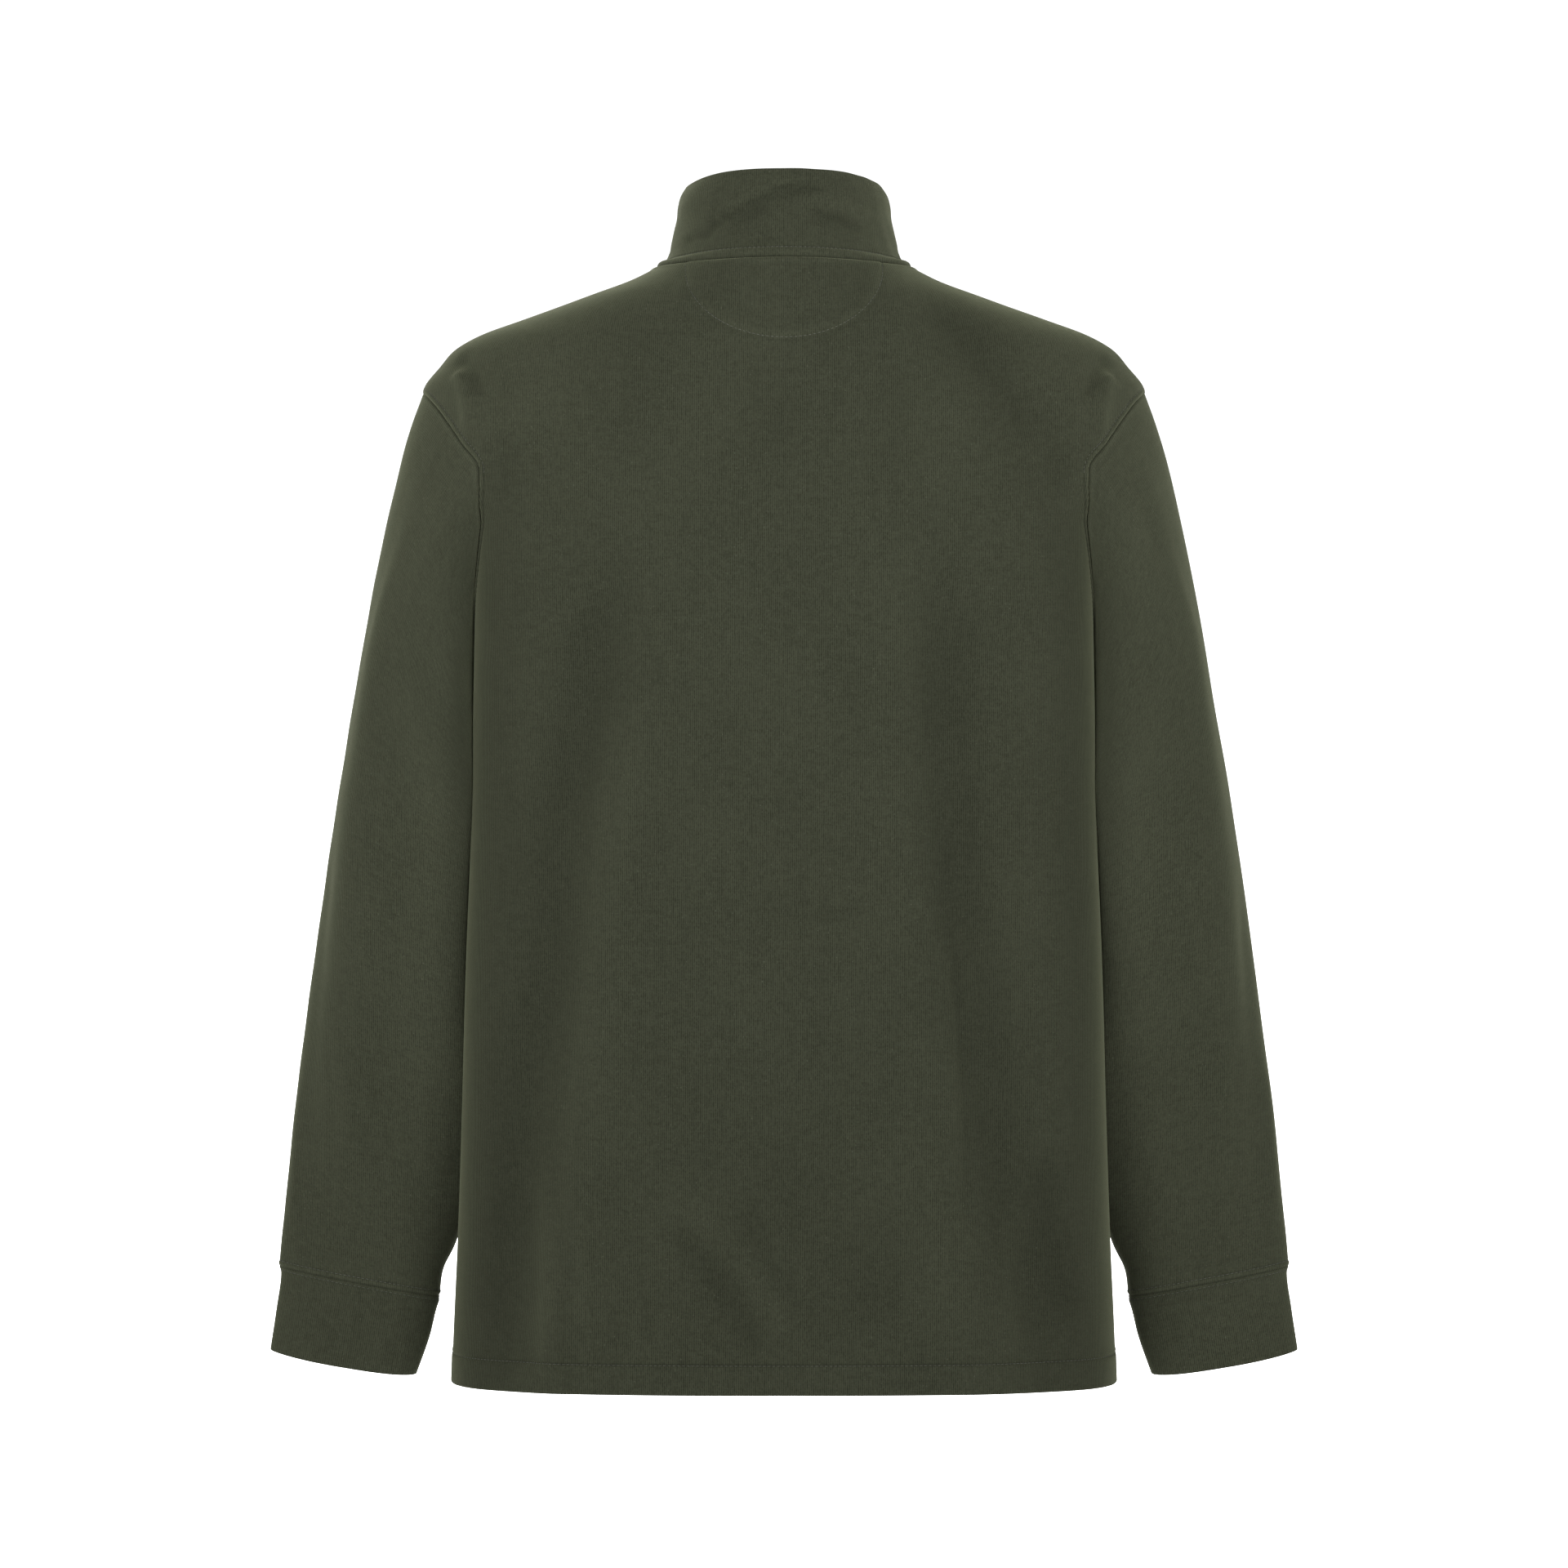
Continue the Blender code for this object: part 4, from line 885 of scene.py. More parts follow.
@dataclass
class ClothPiece:
    """A cut piece of cloth as a grid of points on its outer face, made into a thin closed shell.

    Its grain is the distance across it from its middle column and the distance along that.
    Columns run across the piece and rows along it, in the order that turns the face outwards.
    A closed piece's last column is its first. Cells in left_out are a notch.
    """

    name: str
    outer: Grid
    thickness: Grid | float
    closed: bool = False
    left_out: Grid | None = None
    outward: Grid = field(init=False)
    grain: Grid = field(init=False)
    # Painted shade at each point, under 0 for painted light.
    shade: Grid = field(init=False)

    def __post_init__(self) -> None:
        """Works out the directions and the grain before anything is pushed."""
        self.thickness = np.broadcast_to(self.thickness, self.outer.shape[:2]).copy()
        self.outward = grid_normals(self.outer, self.closed)
        self.shade = np.zeros(self.outer.shape[:2])
        walked, middle = lengths_along(self.outer, axis=1), (self.outer.shape[1] - 1) // 2
        across = walked - walked[:, middle : middle + 1]
        along = lengths_along(self.outer, axis=0)[:, middle : middle + 1]
        self.grain = np.stack([across, np.broadcast_to(along, across.shape)], axis=-1)

    @property
    def kept(self) -> Grid:
        """Which cells are cloth."""
        rows, columns = self.outer.shape[:2]
        kept = np.ones((rows - 1, columns - 1), bool)
        if self.left_out is not None:
            kept &= ~self.left_out
        return kept

    def border(self) -> list[tuple[int, int]]:
        """The points on the piece's border."""
        padded = np.pad(self.kept, 1)
        if self.closed:
            padded[:, 0], padded[:, -1] = padded[:, -2], padded[:, 1]
        corners = np.stack([padded[:-1, :-1], padded[:-1, 1:], padded[1:, :-1], padded[1:, 1:]])
        on_border = corners.any(axis=0) & ~corners.all(axis=0)
        return [tuple(spot) for spot in np.argwhere(on_border)]

    def push(self, amount: Grid) -> None:
        """Moves the outer face out by an amount at each point."""
        self.outer = self.outer + self.outward * amount[..., None]

    def round_edge(self, distance: Grid, share: float = 0.46) -> None:
        """Rounds a folded edge, by a share of the thickness, given each point's distance from it."""
        radius = share * self.thickness
        inside = np.clip(radius - distance, 0, None)
        draw = radius - np.sqrt(np.maximum(radius**2 - inside**2, 0))
        self.push(-draw)
        self.thickness = self.thickness - 2 * draw

    def mesh(self) -> bpy.types.Mesh:
        """The closed shell, with its grain as a UV map in metres and its painted shade as an attribute.

        Returns:
            The mesh: outer face, inner face and rims.
        """
        rows, columns = self.outer.shape[:2]
        index = np.arange(rows * columns).reshape(rows, columns)
        if self.closed:
            index[:, -1] = index[:, 0]
        inner = self.outer - self.outward * self.thickness[..., None]
        points = np.concatenate([self.outer.reshape(-1, 3), inner.reshape(-1, 3)])
        grain = self.grain.reshape(-1, 2)
        place = np.arange(rows * columns).reshape(rows, columns)
        kept, below = self.kept, rows * columns

        def corners(of: Grid) -> Grid:
            """The four corners of each kept cell."""
            cells = np.stack([of[:-1, :-1], of[:-1, 1:], of[1:, 1:], of[1:, :-1]], axis=-1)
            return cells[kept]

        outer_faces, outer_grain = corners(index), corners(place)
        faces = [outer_faces, outer_faces[:, ::-1] + below]
        grains = [outer_grain, outer_grain[:, ::-1]]
        sides = {}
        for face, spots in zip(outer_faces.tolist(), outer_grain.tolist()):
            for corner in range(4):
                after = (corner + 1) % 4
                sides[(face[corner], face[after])] = (spots[corner], spots[after])
        rims = [(side, spots) for side, spots in sides.items() if side[::-1] not in sides]
        faces.append(np.array([[stop, start, start + below, stop + below] for (start, stop), _ in rims]))
        grains.append(np.array([[after, before, before, after] for _, (before, after) in rims]))
        faces, grains = np.concatenate(faces), np.concatenate(grains)
        used, packed = np.unique(faces, return_inverse=True)
        mesh = mesh_of(self.name, points[used], packed.reshape(faces.shape).tolist())
        layer = mesh.uv_layers.new(name="grain")
        layer.data.foreach_set("uv", grain[grains.reshape(-1)].astype(np.float32).reshape(-1))
        write_shade(mesh, np.tile(self.shade.reshape(-1), 2)[used])
        return mesh


def sew(pieces: Sequence[ClothPiece]) -> None:
    """Gives the pieces that meet at a point one outward direction there.

    Args:
        pieces: The pieces, with their seams' points in the same places.
    """
    places = [(piece, spot) for piece in pieces for spot in piece.border()]
    tree = tree_of([piece.outer[spot] for piece, spot in places])
    changes = []
    for piece, spot in places:
        met = [places[index] for _, index, _ in tree.find_range(piece.outer[spot], SAME_PLACE)]
        if len(met) > 1:
            changes.append((piece, spot, unit(sum(other.outward[there] for other, there in met))))
    for piece, spot, shared in changes:
        piece.outward[spot] = shared


def distance_to(grid: Grid, seam: Grid, spacing: float = 0.0004) -> Grid:
    """Each point's distance to a seam.

    Args:
        grid: The points.
        seam: The seam as a line of points.
        spacing: How closely the seam is sampled.

    Returns:
        The distances.
    """
    walked = lengths_along(seam)
    tree = tree_of(along_line(np.linspace(0, walked[-1], int(walked[-1] / spacing) + 2), walked, seam))
    flat = [tree.find(spot)[2] for spot in grid.reshape(-1, 3)]
    return np.array(flat).reshape(grid.shape[:-1])


# Stitches


@dataclass(frozen=True)
class Thread:
    """Sewing thread as a row of short stitches, which dip into needle holes at both ends, with a cone of
    painted shadow at each hole.
    """

    pitch: float = 0.0030
    length: float = 0.0023
    radius: float = 0.00023
    ends: float = 0.55
    middle: float = 0.45
    arch: float = 0.00016
    dip: float = 0.00022
    sides: int = 5
    rings: int = 4
    hole: tuple[float, float] = (0.00042, 0.00030)
    hole_rise: float = 0.00007
    hole_sides: int = 6
    look_ahead: float = 0.0006

    def one_stitch(self) -> Shape:
        """A stitch along +X that lies on the plane z = 0.

        Returns:
            The stitch, with a thicker middle and ends that dip into the cloth.
        """
        points, faces = [], []
        for ring in range(self.rings):
            share = ring / (self.rings - 1)
            bulge = math.sin(math.pi * share)
            thick = self.radius * (self.ends + self.middle * bulge)
            rise = (self.arch + self.dip) * bulge - self.dip
            for side in range(self.sides):
                turn = 2 * math.pi * side / self.sides
                points.append(
                    ((share - 0.5) * self.length, thick * math.cos(turn), rise + thick * math.sin(turn))
                )
        for ring in range(self.rings - 1):
            for side in range(self.sides):
                after = (side + 1) % self.sides
                low, high = ring * self.sides, (ring + 1) * self.sides
                faces.append([low + side, low + after, high + after, high + side])
        faces.append(list(range(self.sides))[::-1])
        faces.append([(self.rings - 1) * self.sides + side for side in range(self.sides)])
        return np.array(points), faces

    def one_hole(self) -> Shape:
        """The needle hole after a stitch, as a low cone that is painted dark: a painted shadow in the hole.

        Returns:
            The hole, at the end of the stitch.
        """
        x, points = self.pitch / 2, []
        for side in range(self.hole_sides):
            turn = 2 * math.pi * side / self.hole_sides
            points.append((x + self.hole[0] * math.cos(turn), self.hole[1] * math.sin(turn), 0.0))
        points = [(x, 0.0, self.hole_rise), *points, (x, 0.0, -self.hole_rise)]
        faces = []
        for side in range(1, self.hole_sides + 1):
            after = side % self.hole_sides + 1
            faces += [[0, side, after], [self.hole_sides + 1, after, side]]
        return np.array(points), faces

    def _seats(self, line: Grid, outward: Grid) -> Iterable[Line]:
        """Each stitch's axes and place along a line, given the cloth's outward directions there."""
        walked = lengths_along(line)
        count = max(int(walked[-1] / self.pitch), 1)
        at = (np.arange(count) + 0.5) * walked[-1] / count
        ahead, behind = (along_line(at + way * self.look_ahead, walked, line) for way in (1, -1))
        along, up = unit(ahead - behind), unit(along_line(at, walked, outward))
        up = unit(up - along * (up * along).sum(axis=1, keepdims=True))
        return zip(np.stack([along, np.cross(up, along), up], axis=1), along_line(at, walked, line))

    def rows(self, name: str, lines: Sequence[Line]) -> bpy.types.Mesh:
        """Stitches along lines on the cloth.

        Args:
            name: The mesh's name.
            lines: For each row, its points and the cloth's outward directions there.

        Returns:
            One mesh with every stitch.
        """
        stitch, hole = self.one_stitch(), self.one_hole()
        shape, faces = joined([stitch, hole])
        seats = [seat for line, outward in lines for seat in self._seats(line, outward)]
        mesh = mesh_of(name, *joined((shape @ axes + spot, faces) for axes, spot in seats))
        # The holes' points carry painted shadow, through the shade attribute.
        dark = np.concatenate([np.zeros(len(stitch[0])), np.ones(len(hole[0]))])
        write_shade(mesh, np.tile(dark, len(seats)))
        return mesh


def line_at(piece: ClothPiece, distance: Grid, value: float, from_start: bool,
            rows: Iterable[int] | None = None) -> Line:
    """The line on a piece at a distance from the seam at one of its edges.

    Args:
        piece: The piece.
        distance: Each point's distance to the seam.
        value: The line's distance.
        from_start: Whether the seam is at the first row or column, and not at the last one.
        rows: The rows that are searched, for a seam that runs down the columns.

    Returns:
        The line's points and outward directions.
    """
    face, outward = piece.outer, piece.outward
    if rows is None:
        face, outward, distance = face.swapaxes(0, 1), outward.swapaxes(0, 1), distance.T
        rows = range(len(face))
    order = slice(None) if from_start else slice(None, None, -1)
    points, ways = [], []
    for row in rows:
        away, spots = distance[row, order], face[row, order]
        past = int(np.argmax(away >= value))
        if 0 < past <= FURTHEST_STEP:
            share = (value - away[past - 1]) / (away[past] - away[past - 1])
            points.append(spots[past - 1] + (spots[past] - spots[past - 1]) * share)
            ways.append(outward[row, order][past])
    return np.array(points), np.array(ways)


# Finishes


class Nodes:
    """The node tree of a material or a world, with short ways to add nodes to it."""

    def __init__(self, owner: bpy.types.Material | bpy.types.World) -> None:
        """Starts a tree that has only its shader and its output."""
        owner.use_nodes = True
        self.owner, self.tree = owner, owner.node_tree
        shaders = (node for node in self.tree.nodes if "Output" not in node.bl_idname)
        self.shader = next(shaders)

    def put(self, socket: Socket, value: object) -> None:
        """Links a socket to another, or sets its value."""
        if isinstance(value, Socket):
            self.tree.links.new(value, socket)
        else:
            socket.default_value = value

    def add(self, kind: str, inputs: dict[int | str, object] | None = None, **settings: object
            ) -> bpy.types.Node:
        """Adds a node, sets its options and fills its inputs."""
        node = self.tree.nodes.new(kind)
        for key, value in settings.items():
            setattr(node, key, value)
        for key, value in (inputs or {}).items():
            self.put(node.inputs[key], value)
        return node

    def split(self, vector: object) -> list[Socket]:
        """The three numbers of a vector."""
        return list(self.add("ShaderNodeSeparateXYZ", {0: vector}).outputs)

    def grain(self) -> Socket:
        """The cloth's grain in metres: the distance across it and along it."""
        return self.add("ShaderNodeUVMap", uv_map="grain").outputs[0]

    def math(self, operation: str, first: object, second: object = 0.0, clamp: bool = False
             ) -> Socket:
        """One sum on two numbers."""
        inputs = {0: first, 1: second}
        return self.add("ShaderNodeMath", inputs, operation=operation, use_clamp=clamp).outputs[0]

    def plus(self, first: object, second: object) -> Socket:
        """One number and another."""
        return self.math("ADD", first, second)

    def times(self, first: object, second: object) -> Socket:
        """One number times another."""
        return self.math("MULTIPLY", first, second)

    def over(self, first: object, second: object) -> Socket:
        """One number divided by another."""
        return self.math("DIVIDE", first, second)

    def flat(self, x: object, y: object) -> Socket:
        """A vector in the plane z = 0."""
        return self.add("ShaderNodeCombineXYZ", {0: x, 1: y}).outputs[0]

    def noise(self, place: object, scale: float, detail: float = 2.0) -> Socket:
        """Smooth noise between 0 and 1."""
        inputs = {"Vector": place, "Scale": scale, "Detail": detail}
        return self.add("ShaderNodeTexNoise", inputs).outputs["Fac"]

    def between(self, value: object, low: float, high: float, to_low: float = 0.0,
                to_high: float = 1.0) -> Socket:
        """Maps a range to another, clamped and smooth."""
        inputs = dict(enumerate((value, low, high, to_low, to_high)))
        return self.add("ShaderNodeMapRange", inputs, interpolation_type="SMOOTHSTEP").outputs[0]

    def mix(self, share: object, first: object, second: object) -> Socket:
        """Mixes two colours."""
        return self.add("ShaderNodeMix", {0: share, 6: first, 7: second}, data_type="RGBA").outputs[2]

    def shaded(self, colour: object, strength: float) -> Socket:
        """A colour, darker by the painted shade on the mesh, and lighter where that is under 0, as painted
        light.
        """
        shade = self.add("ShaderNodeAttribute", attribute_name=SHADE).outputs["Fac"]
        left = self.math("SUBTRACT", 1.0, self.times(shade, strength))
        return self.add("ShaderNodeVectorMath", {0: colour, "Scale": left}, operation="SCALE").outputs[0]

    def bump(self, height: object, distance: float) -> Socket:
        """A bumped normal."""
        inputs = {"Strength": 1.0, "Distance": distance, "Height": height}
        return self.add("ShaderNodeBump", inputs).outputs[0]

    def finished(self, inputs: dict[str, object]) -> bpy.types.Material | bpy.types.World:
        """Fills the shader's inputs and gives the material or world."""
        for key, value in inputs.items():
            self.put(self.shader.inputs[key], value)
        return self.owner


class Mottle(NamedTuple):
    """Soft uneven patches in the knit: their size in metres, their detail and their strength."""

    wide: float
    high: float
    detail: float
    strength: float


@dataclass(frozen=True)
class RibKnit:
    """The matt cotton knit with a fine rib, which runs along the piece's grain."""

    name: str = "olive_rib_knit"
    pitch: float = 0.00135
    course: float = 0.0014
    # The colour of the rib's hollows, darker than the ribs' tops as painted shade.
    valley: Colour = (0.0231, 0.0251, 0.0158, 1)
    rib: Colour = (0.0524, 0.0569, 0.0366, 1)
    fleck: Colour = (0.105, 0.112, 0.082, 1)
    fleck_share: float = 0.45
    wander: Mottle = Mottle(0.045, 0.060, 2.0, 1.2)
    jitter: Mottle = Mottle(0.0022, 0.0030, 2.0, 0.22)
    fuzz: Mottle = Mottle(0.0004, 0.0004, 2.0, 0.30)
    flecks: Mottle = Mottle(0.0011, 0.0014, 0.0, 1.0)
    mottles: tuple[Mottle, ...] = (
        Mottle(0.0075, 0.0050, 3.0, 0.12),
        Mottle(0.0100, 0.0008, 3.0, 0.07),
        Mottle(0.0600, 0.0800, 3.0, 0.08),
    )
    loop_scale: float = 0.55
    loop_strength: float = 0.10
    dash: float = 0.52
    hollow_shade: float = 0.42
    dash_dip: float = -0.25
    evening: float = 0.055
    relief: float = 0.00012
    # How strongly the painted shade and painted light darken and lighten the knit's colour.
    seam_shade: float = 0.75
    sheen_tint: Colour = (0.56, 0.60, 0.38, 1)

    def material(self) -> bpy.types.Material:
        """Builds the finish.

        Returns:
            The material.
        """
        nodes = Nodes(bpy.data.materials.new(self.name))
        across, along, _ = nodes.split(nodes.grain())

        def patches(mottle: Mottle) -> Socket:
            """Noise with patches of a mottle's size."""
            place = nodes.flat(nodes.over(across, mottle.wide), nodes.over(along, mottle.high))
            return nodes.noise(place, 1.0, mottle.detail)

        shifts = (nodes.times(patches(each), each.strength) for each in (self.wander, self.jitter))
        phase = nodes.plus(nodes.over(across, self.pitch), nodes.plus(*shifts))
        wave = nodes.math("COSINE", nodes.times(phase, 2 * math.pi))
        rib = nodes.plus(nodes.times(wave, 0.5), 0.5)
        hollow = nodes.math("SUBTRACT", 1.0, rib)
        loops = nodes.flat(phase, nodes.over(along, self.course))
        dashes = nodes.between(nodes.noise(loops, 1.0, 1.0), 0.36, 0.64)
        # Painted shade: the colour is darker in the rib's hollows, and darker still in dashes between the
        # loops, beside the bump. The mottles added next are the knit's own uneven tone.
        shade = nodes.times(hollow, nodes.plus(nodes.times(dashes, self.dash), self.hollow_shade))
        uneven = [(nodes.noise(loops, self.loop_scale, 1.0), self.loop_strength)]
        for noise, strength in uneven + [(patches(each), each.strength) for each in self.mottles]:
            shade = nodes.plus(shade, nodes.between(noise, 0.28, 0.72, -strength, strength))
        shade = nodes.math("ADD", shade, self.evening, clamp=True)
        specks = nodes.times(nodes.between(patches(self.flecks), 0.76, 0.82), self.fleck_share)
        colour = nodes.mix(specks, nodes.mix(shade, self.rib, self.valley), self.fleck)
        height = nodes.plus(rib, nodes.times(dashes, self.dash_dip))
        height = nodes.plus(height, nodes.times(patches(self.fuzz), self.fuzz.strength))
        return nodes.finished({
            "Base Color": nodes.shaded(colour, self.seam_shade), "Normal": nodes.bump(height, self.relief),
            "Roughness": 0.92, "Specular IOR Level": 0.08, "Sheen Weight": 0.45, "Sheen Roughness": 0.48,
            "Sheen Tint": self.sheen_tint,
        })


@dataclass(frozen=True)
class PatchJersey:
    """The plain jersey of the half-moon patch."""

    name: str = "patch_jersey"
    dark: Colour = (0.040, 0.043, 0.028, 1)
    light: Colour = (0.064, 0.068, 0.048, 1)
    stitch: tuple[float, float] = (0.0008, 0.0007)
    relief: float = 0.00008

    def material(self) -> bpy.types.Material:
        """Builds the finish.

        Returns:
            The material.
        """
        nodes = Nodes(bpy.data.materials.new(self.name))
        grain = nodes.grain()
        waves = [nodes.math("COSINE", nodes.times(way, 2 * math.pi / size))
                 for way, size in zip(nodes.split(grain), self.stitch)]
        loops = nodes.plus(nodes.times(nodes.times(*waves), 0.5), 0.5)
        uneven = nodes.between(nodes.noise(grain, 300.0), 0.3, 0.7, 0.0, 0.5)
        shade = nodes.plus(nodes.times(loops, 0.5), uneven)
        return nodes.finished({
            "Base Color": nodes.mix(shade, self.dark, self.light), "Normal": nodes.bump(loops, self.relief),
            "Roughness": 0.9, "Sheen Weight": 0.2,
        })


@dataclass(frozen=True)
class TwistedThread:
    """Sewing thread: the cloth's colour, a little lighter and smoother, and darker on the needle holes' cones
    as painted shadow.
    """

    name: str = "olive_thread"
    dark: Colour = (0.052, 0.056, 0.037, 1)
    light: Colour = (0.088, 0.094, 0.065, 1)
    plies: float = 2600.0
    relief: float = 0.00005
    # How dark the painted shadow on the needle holes' cones is.
    hole_shade: float = 0.85

    def material(self) -> bpy.types.Material:
        """Builds the finish.

        Returns:
            The material.
        """
        nodes = Nodes(bpy.data.materials.new(self.name))
        plies = nodes.noise(nodes.add("ShaderNodeTexCoord").outputs["Object"], self.plies, 1.0)
        colour = nodes.mix(plies, self.dark, self.light)
        return nodes.finished({
            "Base Color": nodes.shaded(colour, self.hole_shade), "Normal": nodes.bump(plies, self.relief),
            "Roughness": 0.6, "Sheen Weight": 0.15,
        })


@dataclass(frozen=True)
class ButtonResin:
    """Dark olive resin with faint streaks and scuffs, polished."""

    name: str = "olive_button_resin"
    dark: Colour = (0.018, 0.019, 0.012, 1)
    light: Colour = (0.045, 0.046, 0.032, 1)
    streak_turn: tuple[float, float, float] = (0.3, 0.2, 0.7)
    streak_scale: tuple[float, float, float] = (1.0, 1.0, 4.0)
    streaks: float = 180.0
    scuffs: float = 1500.0
    relief: float = 0.00001

    def material(self) -> bpy.types.Material:
        """Builds the finish.

        Returns:
            The material.
        """
        nodes = Nodes(bpy.data.materials.new(self.name))
        place = nodes.add("ShaderNodeTexCoord").outputs["Object"]
        turned = {"Vector": place, "Rotation": self.streak_turn, "Scale": self.streak_scale}
        streaks = nodes.noise(nodes.add("ShaderNodeMapping", turned).outputs[0], self.streaks, 4.0)
        scuffs = nodes.noise(place, self.scuffs, 3.0)
        return nodes.finished({
            "Base Color": nodes.mix(nodes.between(streaks, 0.35, 0.7), self.dark, self.light),
            "Roughness": nodes.between(scuffs, 0.3, 0.7, 0.28, 0.42),
            "Normal": nodes.bump(scuffs, self.relief), "Coat Weight": 0.2,
        })


@dataclass(frozen=True)
class StudioPaper:
    """The plain pale floor."""

    name: str = "pale_floor"
    colour: Colour = (0.82, 0.82, 0.82, 1)

    def material(self) -> bpy.types.Material:
        """Builds the finish."""
        nodes = Nodes(bpy.data.materials.new(self.name))
        return nodes.finished({"Base Color": self.colour, "Roughness": 0.9})


@dataclass
class Finishes:
    """Every finish of the shirt, built once."""

    knit: bpy.types.Material = field(default_factory=lambda: RibKnit().material())
    patch: bpy.types.Material = field(default_factory=lambda: PatchJersey().material())
    thread: bpy.types.Material = field(default_factory=lambda: TwistedThread().material())
    resin: bpy.types.Material = field(default_factory=lambda: ButtonResin().material())


# Placing pieces


def place(name: str, mesh: bpy.types.Mesh, material: bpy.types.Material, slot: str,
          node: str | None = None) -> bpy.types.Object:
    """Puts a mesh in the scene as a piece that rides on the shirt.

    Args:
        name: The piece's name.
        mesh: Its mesh.
        material: Its finish.
        slot: The record's material slot. It is not used.
        node: The solid that it stands for, if any.

    Returns:
        The object.
    """
    mesh.materials.clear()
    mesh.materials.append(material)
    added = bpy.data.objects.new(name, mesh)
    bpy.context.scene.collection.objects.link(added)
    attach(added, BODY)
    if node:
        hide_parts(node)
    LOG.info("%s: %d faces", name, len(mesh.polygons))
    return added


def deselect_all() -> None:
    """Leaves nothing selected, so that an operator acts on its own piece alone."""
    if bpy.context.object and bpy.context.object.mode != "OBJECT":
        bpy.ops.object.mode_set(mode="OBJECT")
    bpy.ops.object.select_all(action="DESELECT")


# Sub-assemblies


@dataclass(frozen=True)
class ClothShade:
    """Painted shade and light on the knit, by place: darker in creases, over the torso and down its sides,
    lighter on crease ridges, the shoulders and the sleeves.
    """

    torso: TorsoForm
    base: float = 0.065
    main_depth: float = 0.006
    fine_depth: float = 0.0018
    collar_depth: float = 0.0012
    trough: float = 0.22
    ridge: float = 0.12
    collar_ridge: float = 0.7
    side: float = 0.38
    side_reach: Fade = Fade(0.0, 0.048)
    side_down: Fade = Fade(-0.120, -0.080)
    edge: float = 0.15
    edge_reach: Fade = Fade(0.0005, 0.0022)
    shoulder: float = 0.11
    shoulder_up: Fade = Fade(-0.150, 0.060)
    shoulder_out: Fade = Fade(0.110, 0.060)
    collar_middle: float = 0.12
    collar_out: Fade = Fade(0.034, 0.034)
    collar_behind: Fade = Fade(0.0, 0.020)
    sleeve_light: float = 0.09
    beside_body: Fade = Fade(0.003, 0.020)
    below_armhole: Fade = Fade(-0.150, -0.100)
    low_down: Fade = Fade(-0.430, -0.100)
    low_light: float = 0.30
    high_shade: float = 0.20
    stripe_light: float = 0.10
    stripe: Hump = Hump(0.028, 0.013)
    stripe_up: Fade = Fade(-0.640, 0.200)
    sleeve_behind: Fade = Fade(-0.012, 0.020)

    def of_torso(self, levels: Grid, angles: Grid) -> Grid:
        """Painted shade on the torso's cloth: darker in its creases, over all and down its sides, lighter on
        the creases' ridges and on the shoulders.

        Args:
            levels: Each point's height.
            angles: Its turn about the body.

        Returns:
            The shade at each point.
        """
        spot = self.torso.plain(levels, angles)
        out, height = np.abs(spot[..., 0]), spot[..., 2]
        shade = np.zeros(spot.shape[:2])
        # Painted shade in the creases' troughs, painted light on their ridges.
        for push, depth in zip(self.torso.creased(spot, angles), (self.main_depth, self.fine_depth)):
            share = np.clip(-push / depth, -1, 1)
            shade += share * np.where(share > 0, self.trough, self.ridge)
        # Painted shade down the sides below the armholes, less at the very edge.
        inside = self.torso.ring(height).half_width - out
        side = self.side * (1 - self.side_reach.at(inside))
        side = side + (self.edge - side) * (1 - self.edge_reach.at(inside))
        # Painted light on the shoulders, and painted shade over the whole torso.
        shoulder = self.shoulder_up.at(height) * self.shoulder_out.at(out)
        return shade + self.base + self.side_down.at(height) * side - self.shoulder * shoulder

    def of_collar(self, face: Grid) -> Grid:
        """Painted shade on the collar, in its creases and round the centre back, with painted light on the
        creases' ridges.
        """
        x, up = face[..., 0], lengths_along(face, axis=0)
        push = crease_height(COLLAR_CREASES, x, up, foot_left=0.0)
        creases = self.trough * np.clip(-push / self.collar_depth, -self.collar_ridge, 1)
        middle = self.collar_middle * (1 - self.collar_out.at(np.abs(x)))
        return self.collar_behind.at(face[..., 1]) * (creases + middle)

    def of_sleeve(self, face: Grid) -> Grid:
        """Painted light and shade on a sleeve or cuff. It is under 0, painted light, over all; beside the
        torso's side it is lighter low down and darker just below the armhole, and a band a little out from
        the side is lighter.
        """
        height = face[..., 2]
        out = np.abs(face[..., 0]) - self.torso.ring(height).half_width
        low = self.low_down.at(height)
        inner = self.low_light * low - self.high_shade * self.below_armhole.at(height) * (1 - low)
        light = (1 - self.beside_body.at(out)) * inner
        # A painted highlight: a lighter band along the sleeve, a little out from the torso's side.
        light = light + self.stripe_light * (self.stripe.at(out) * self.stripe_up.at(height))
        return -(self.sleeve_light + light * self.sleeve_behind.at(face[..., 1]))


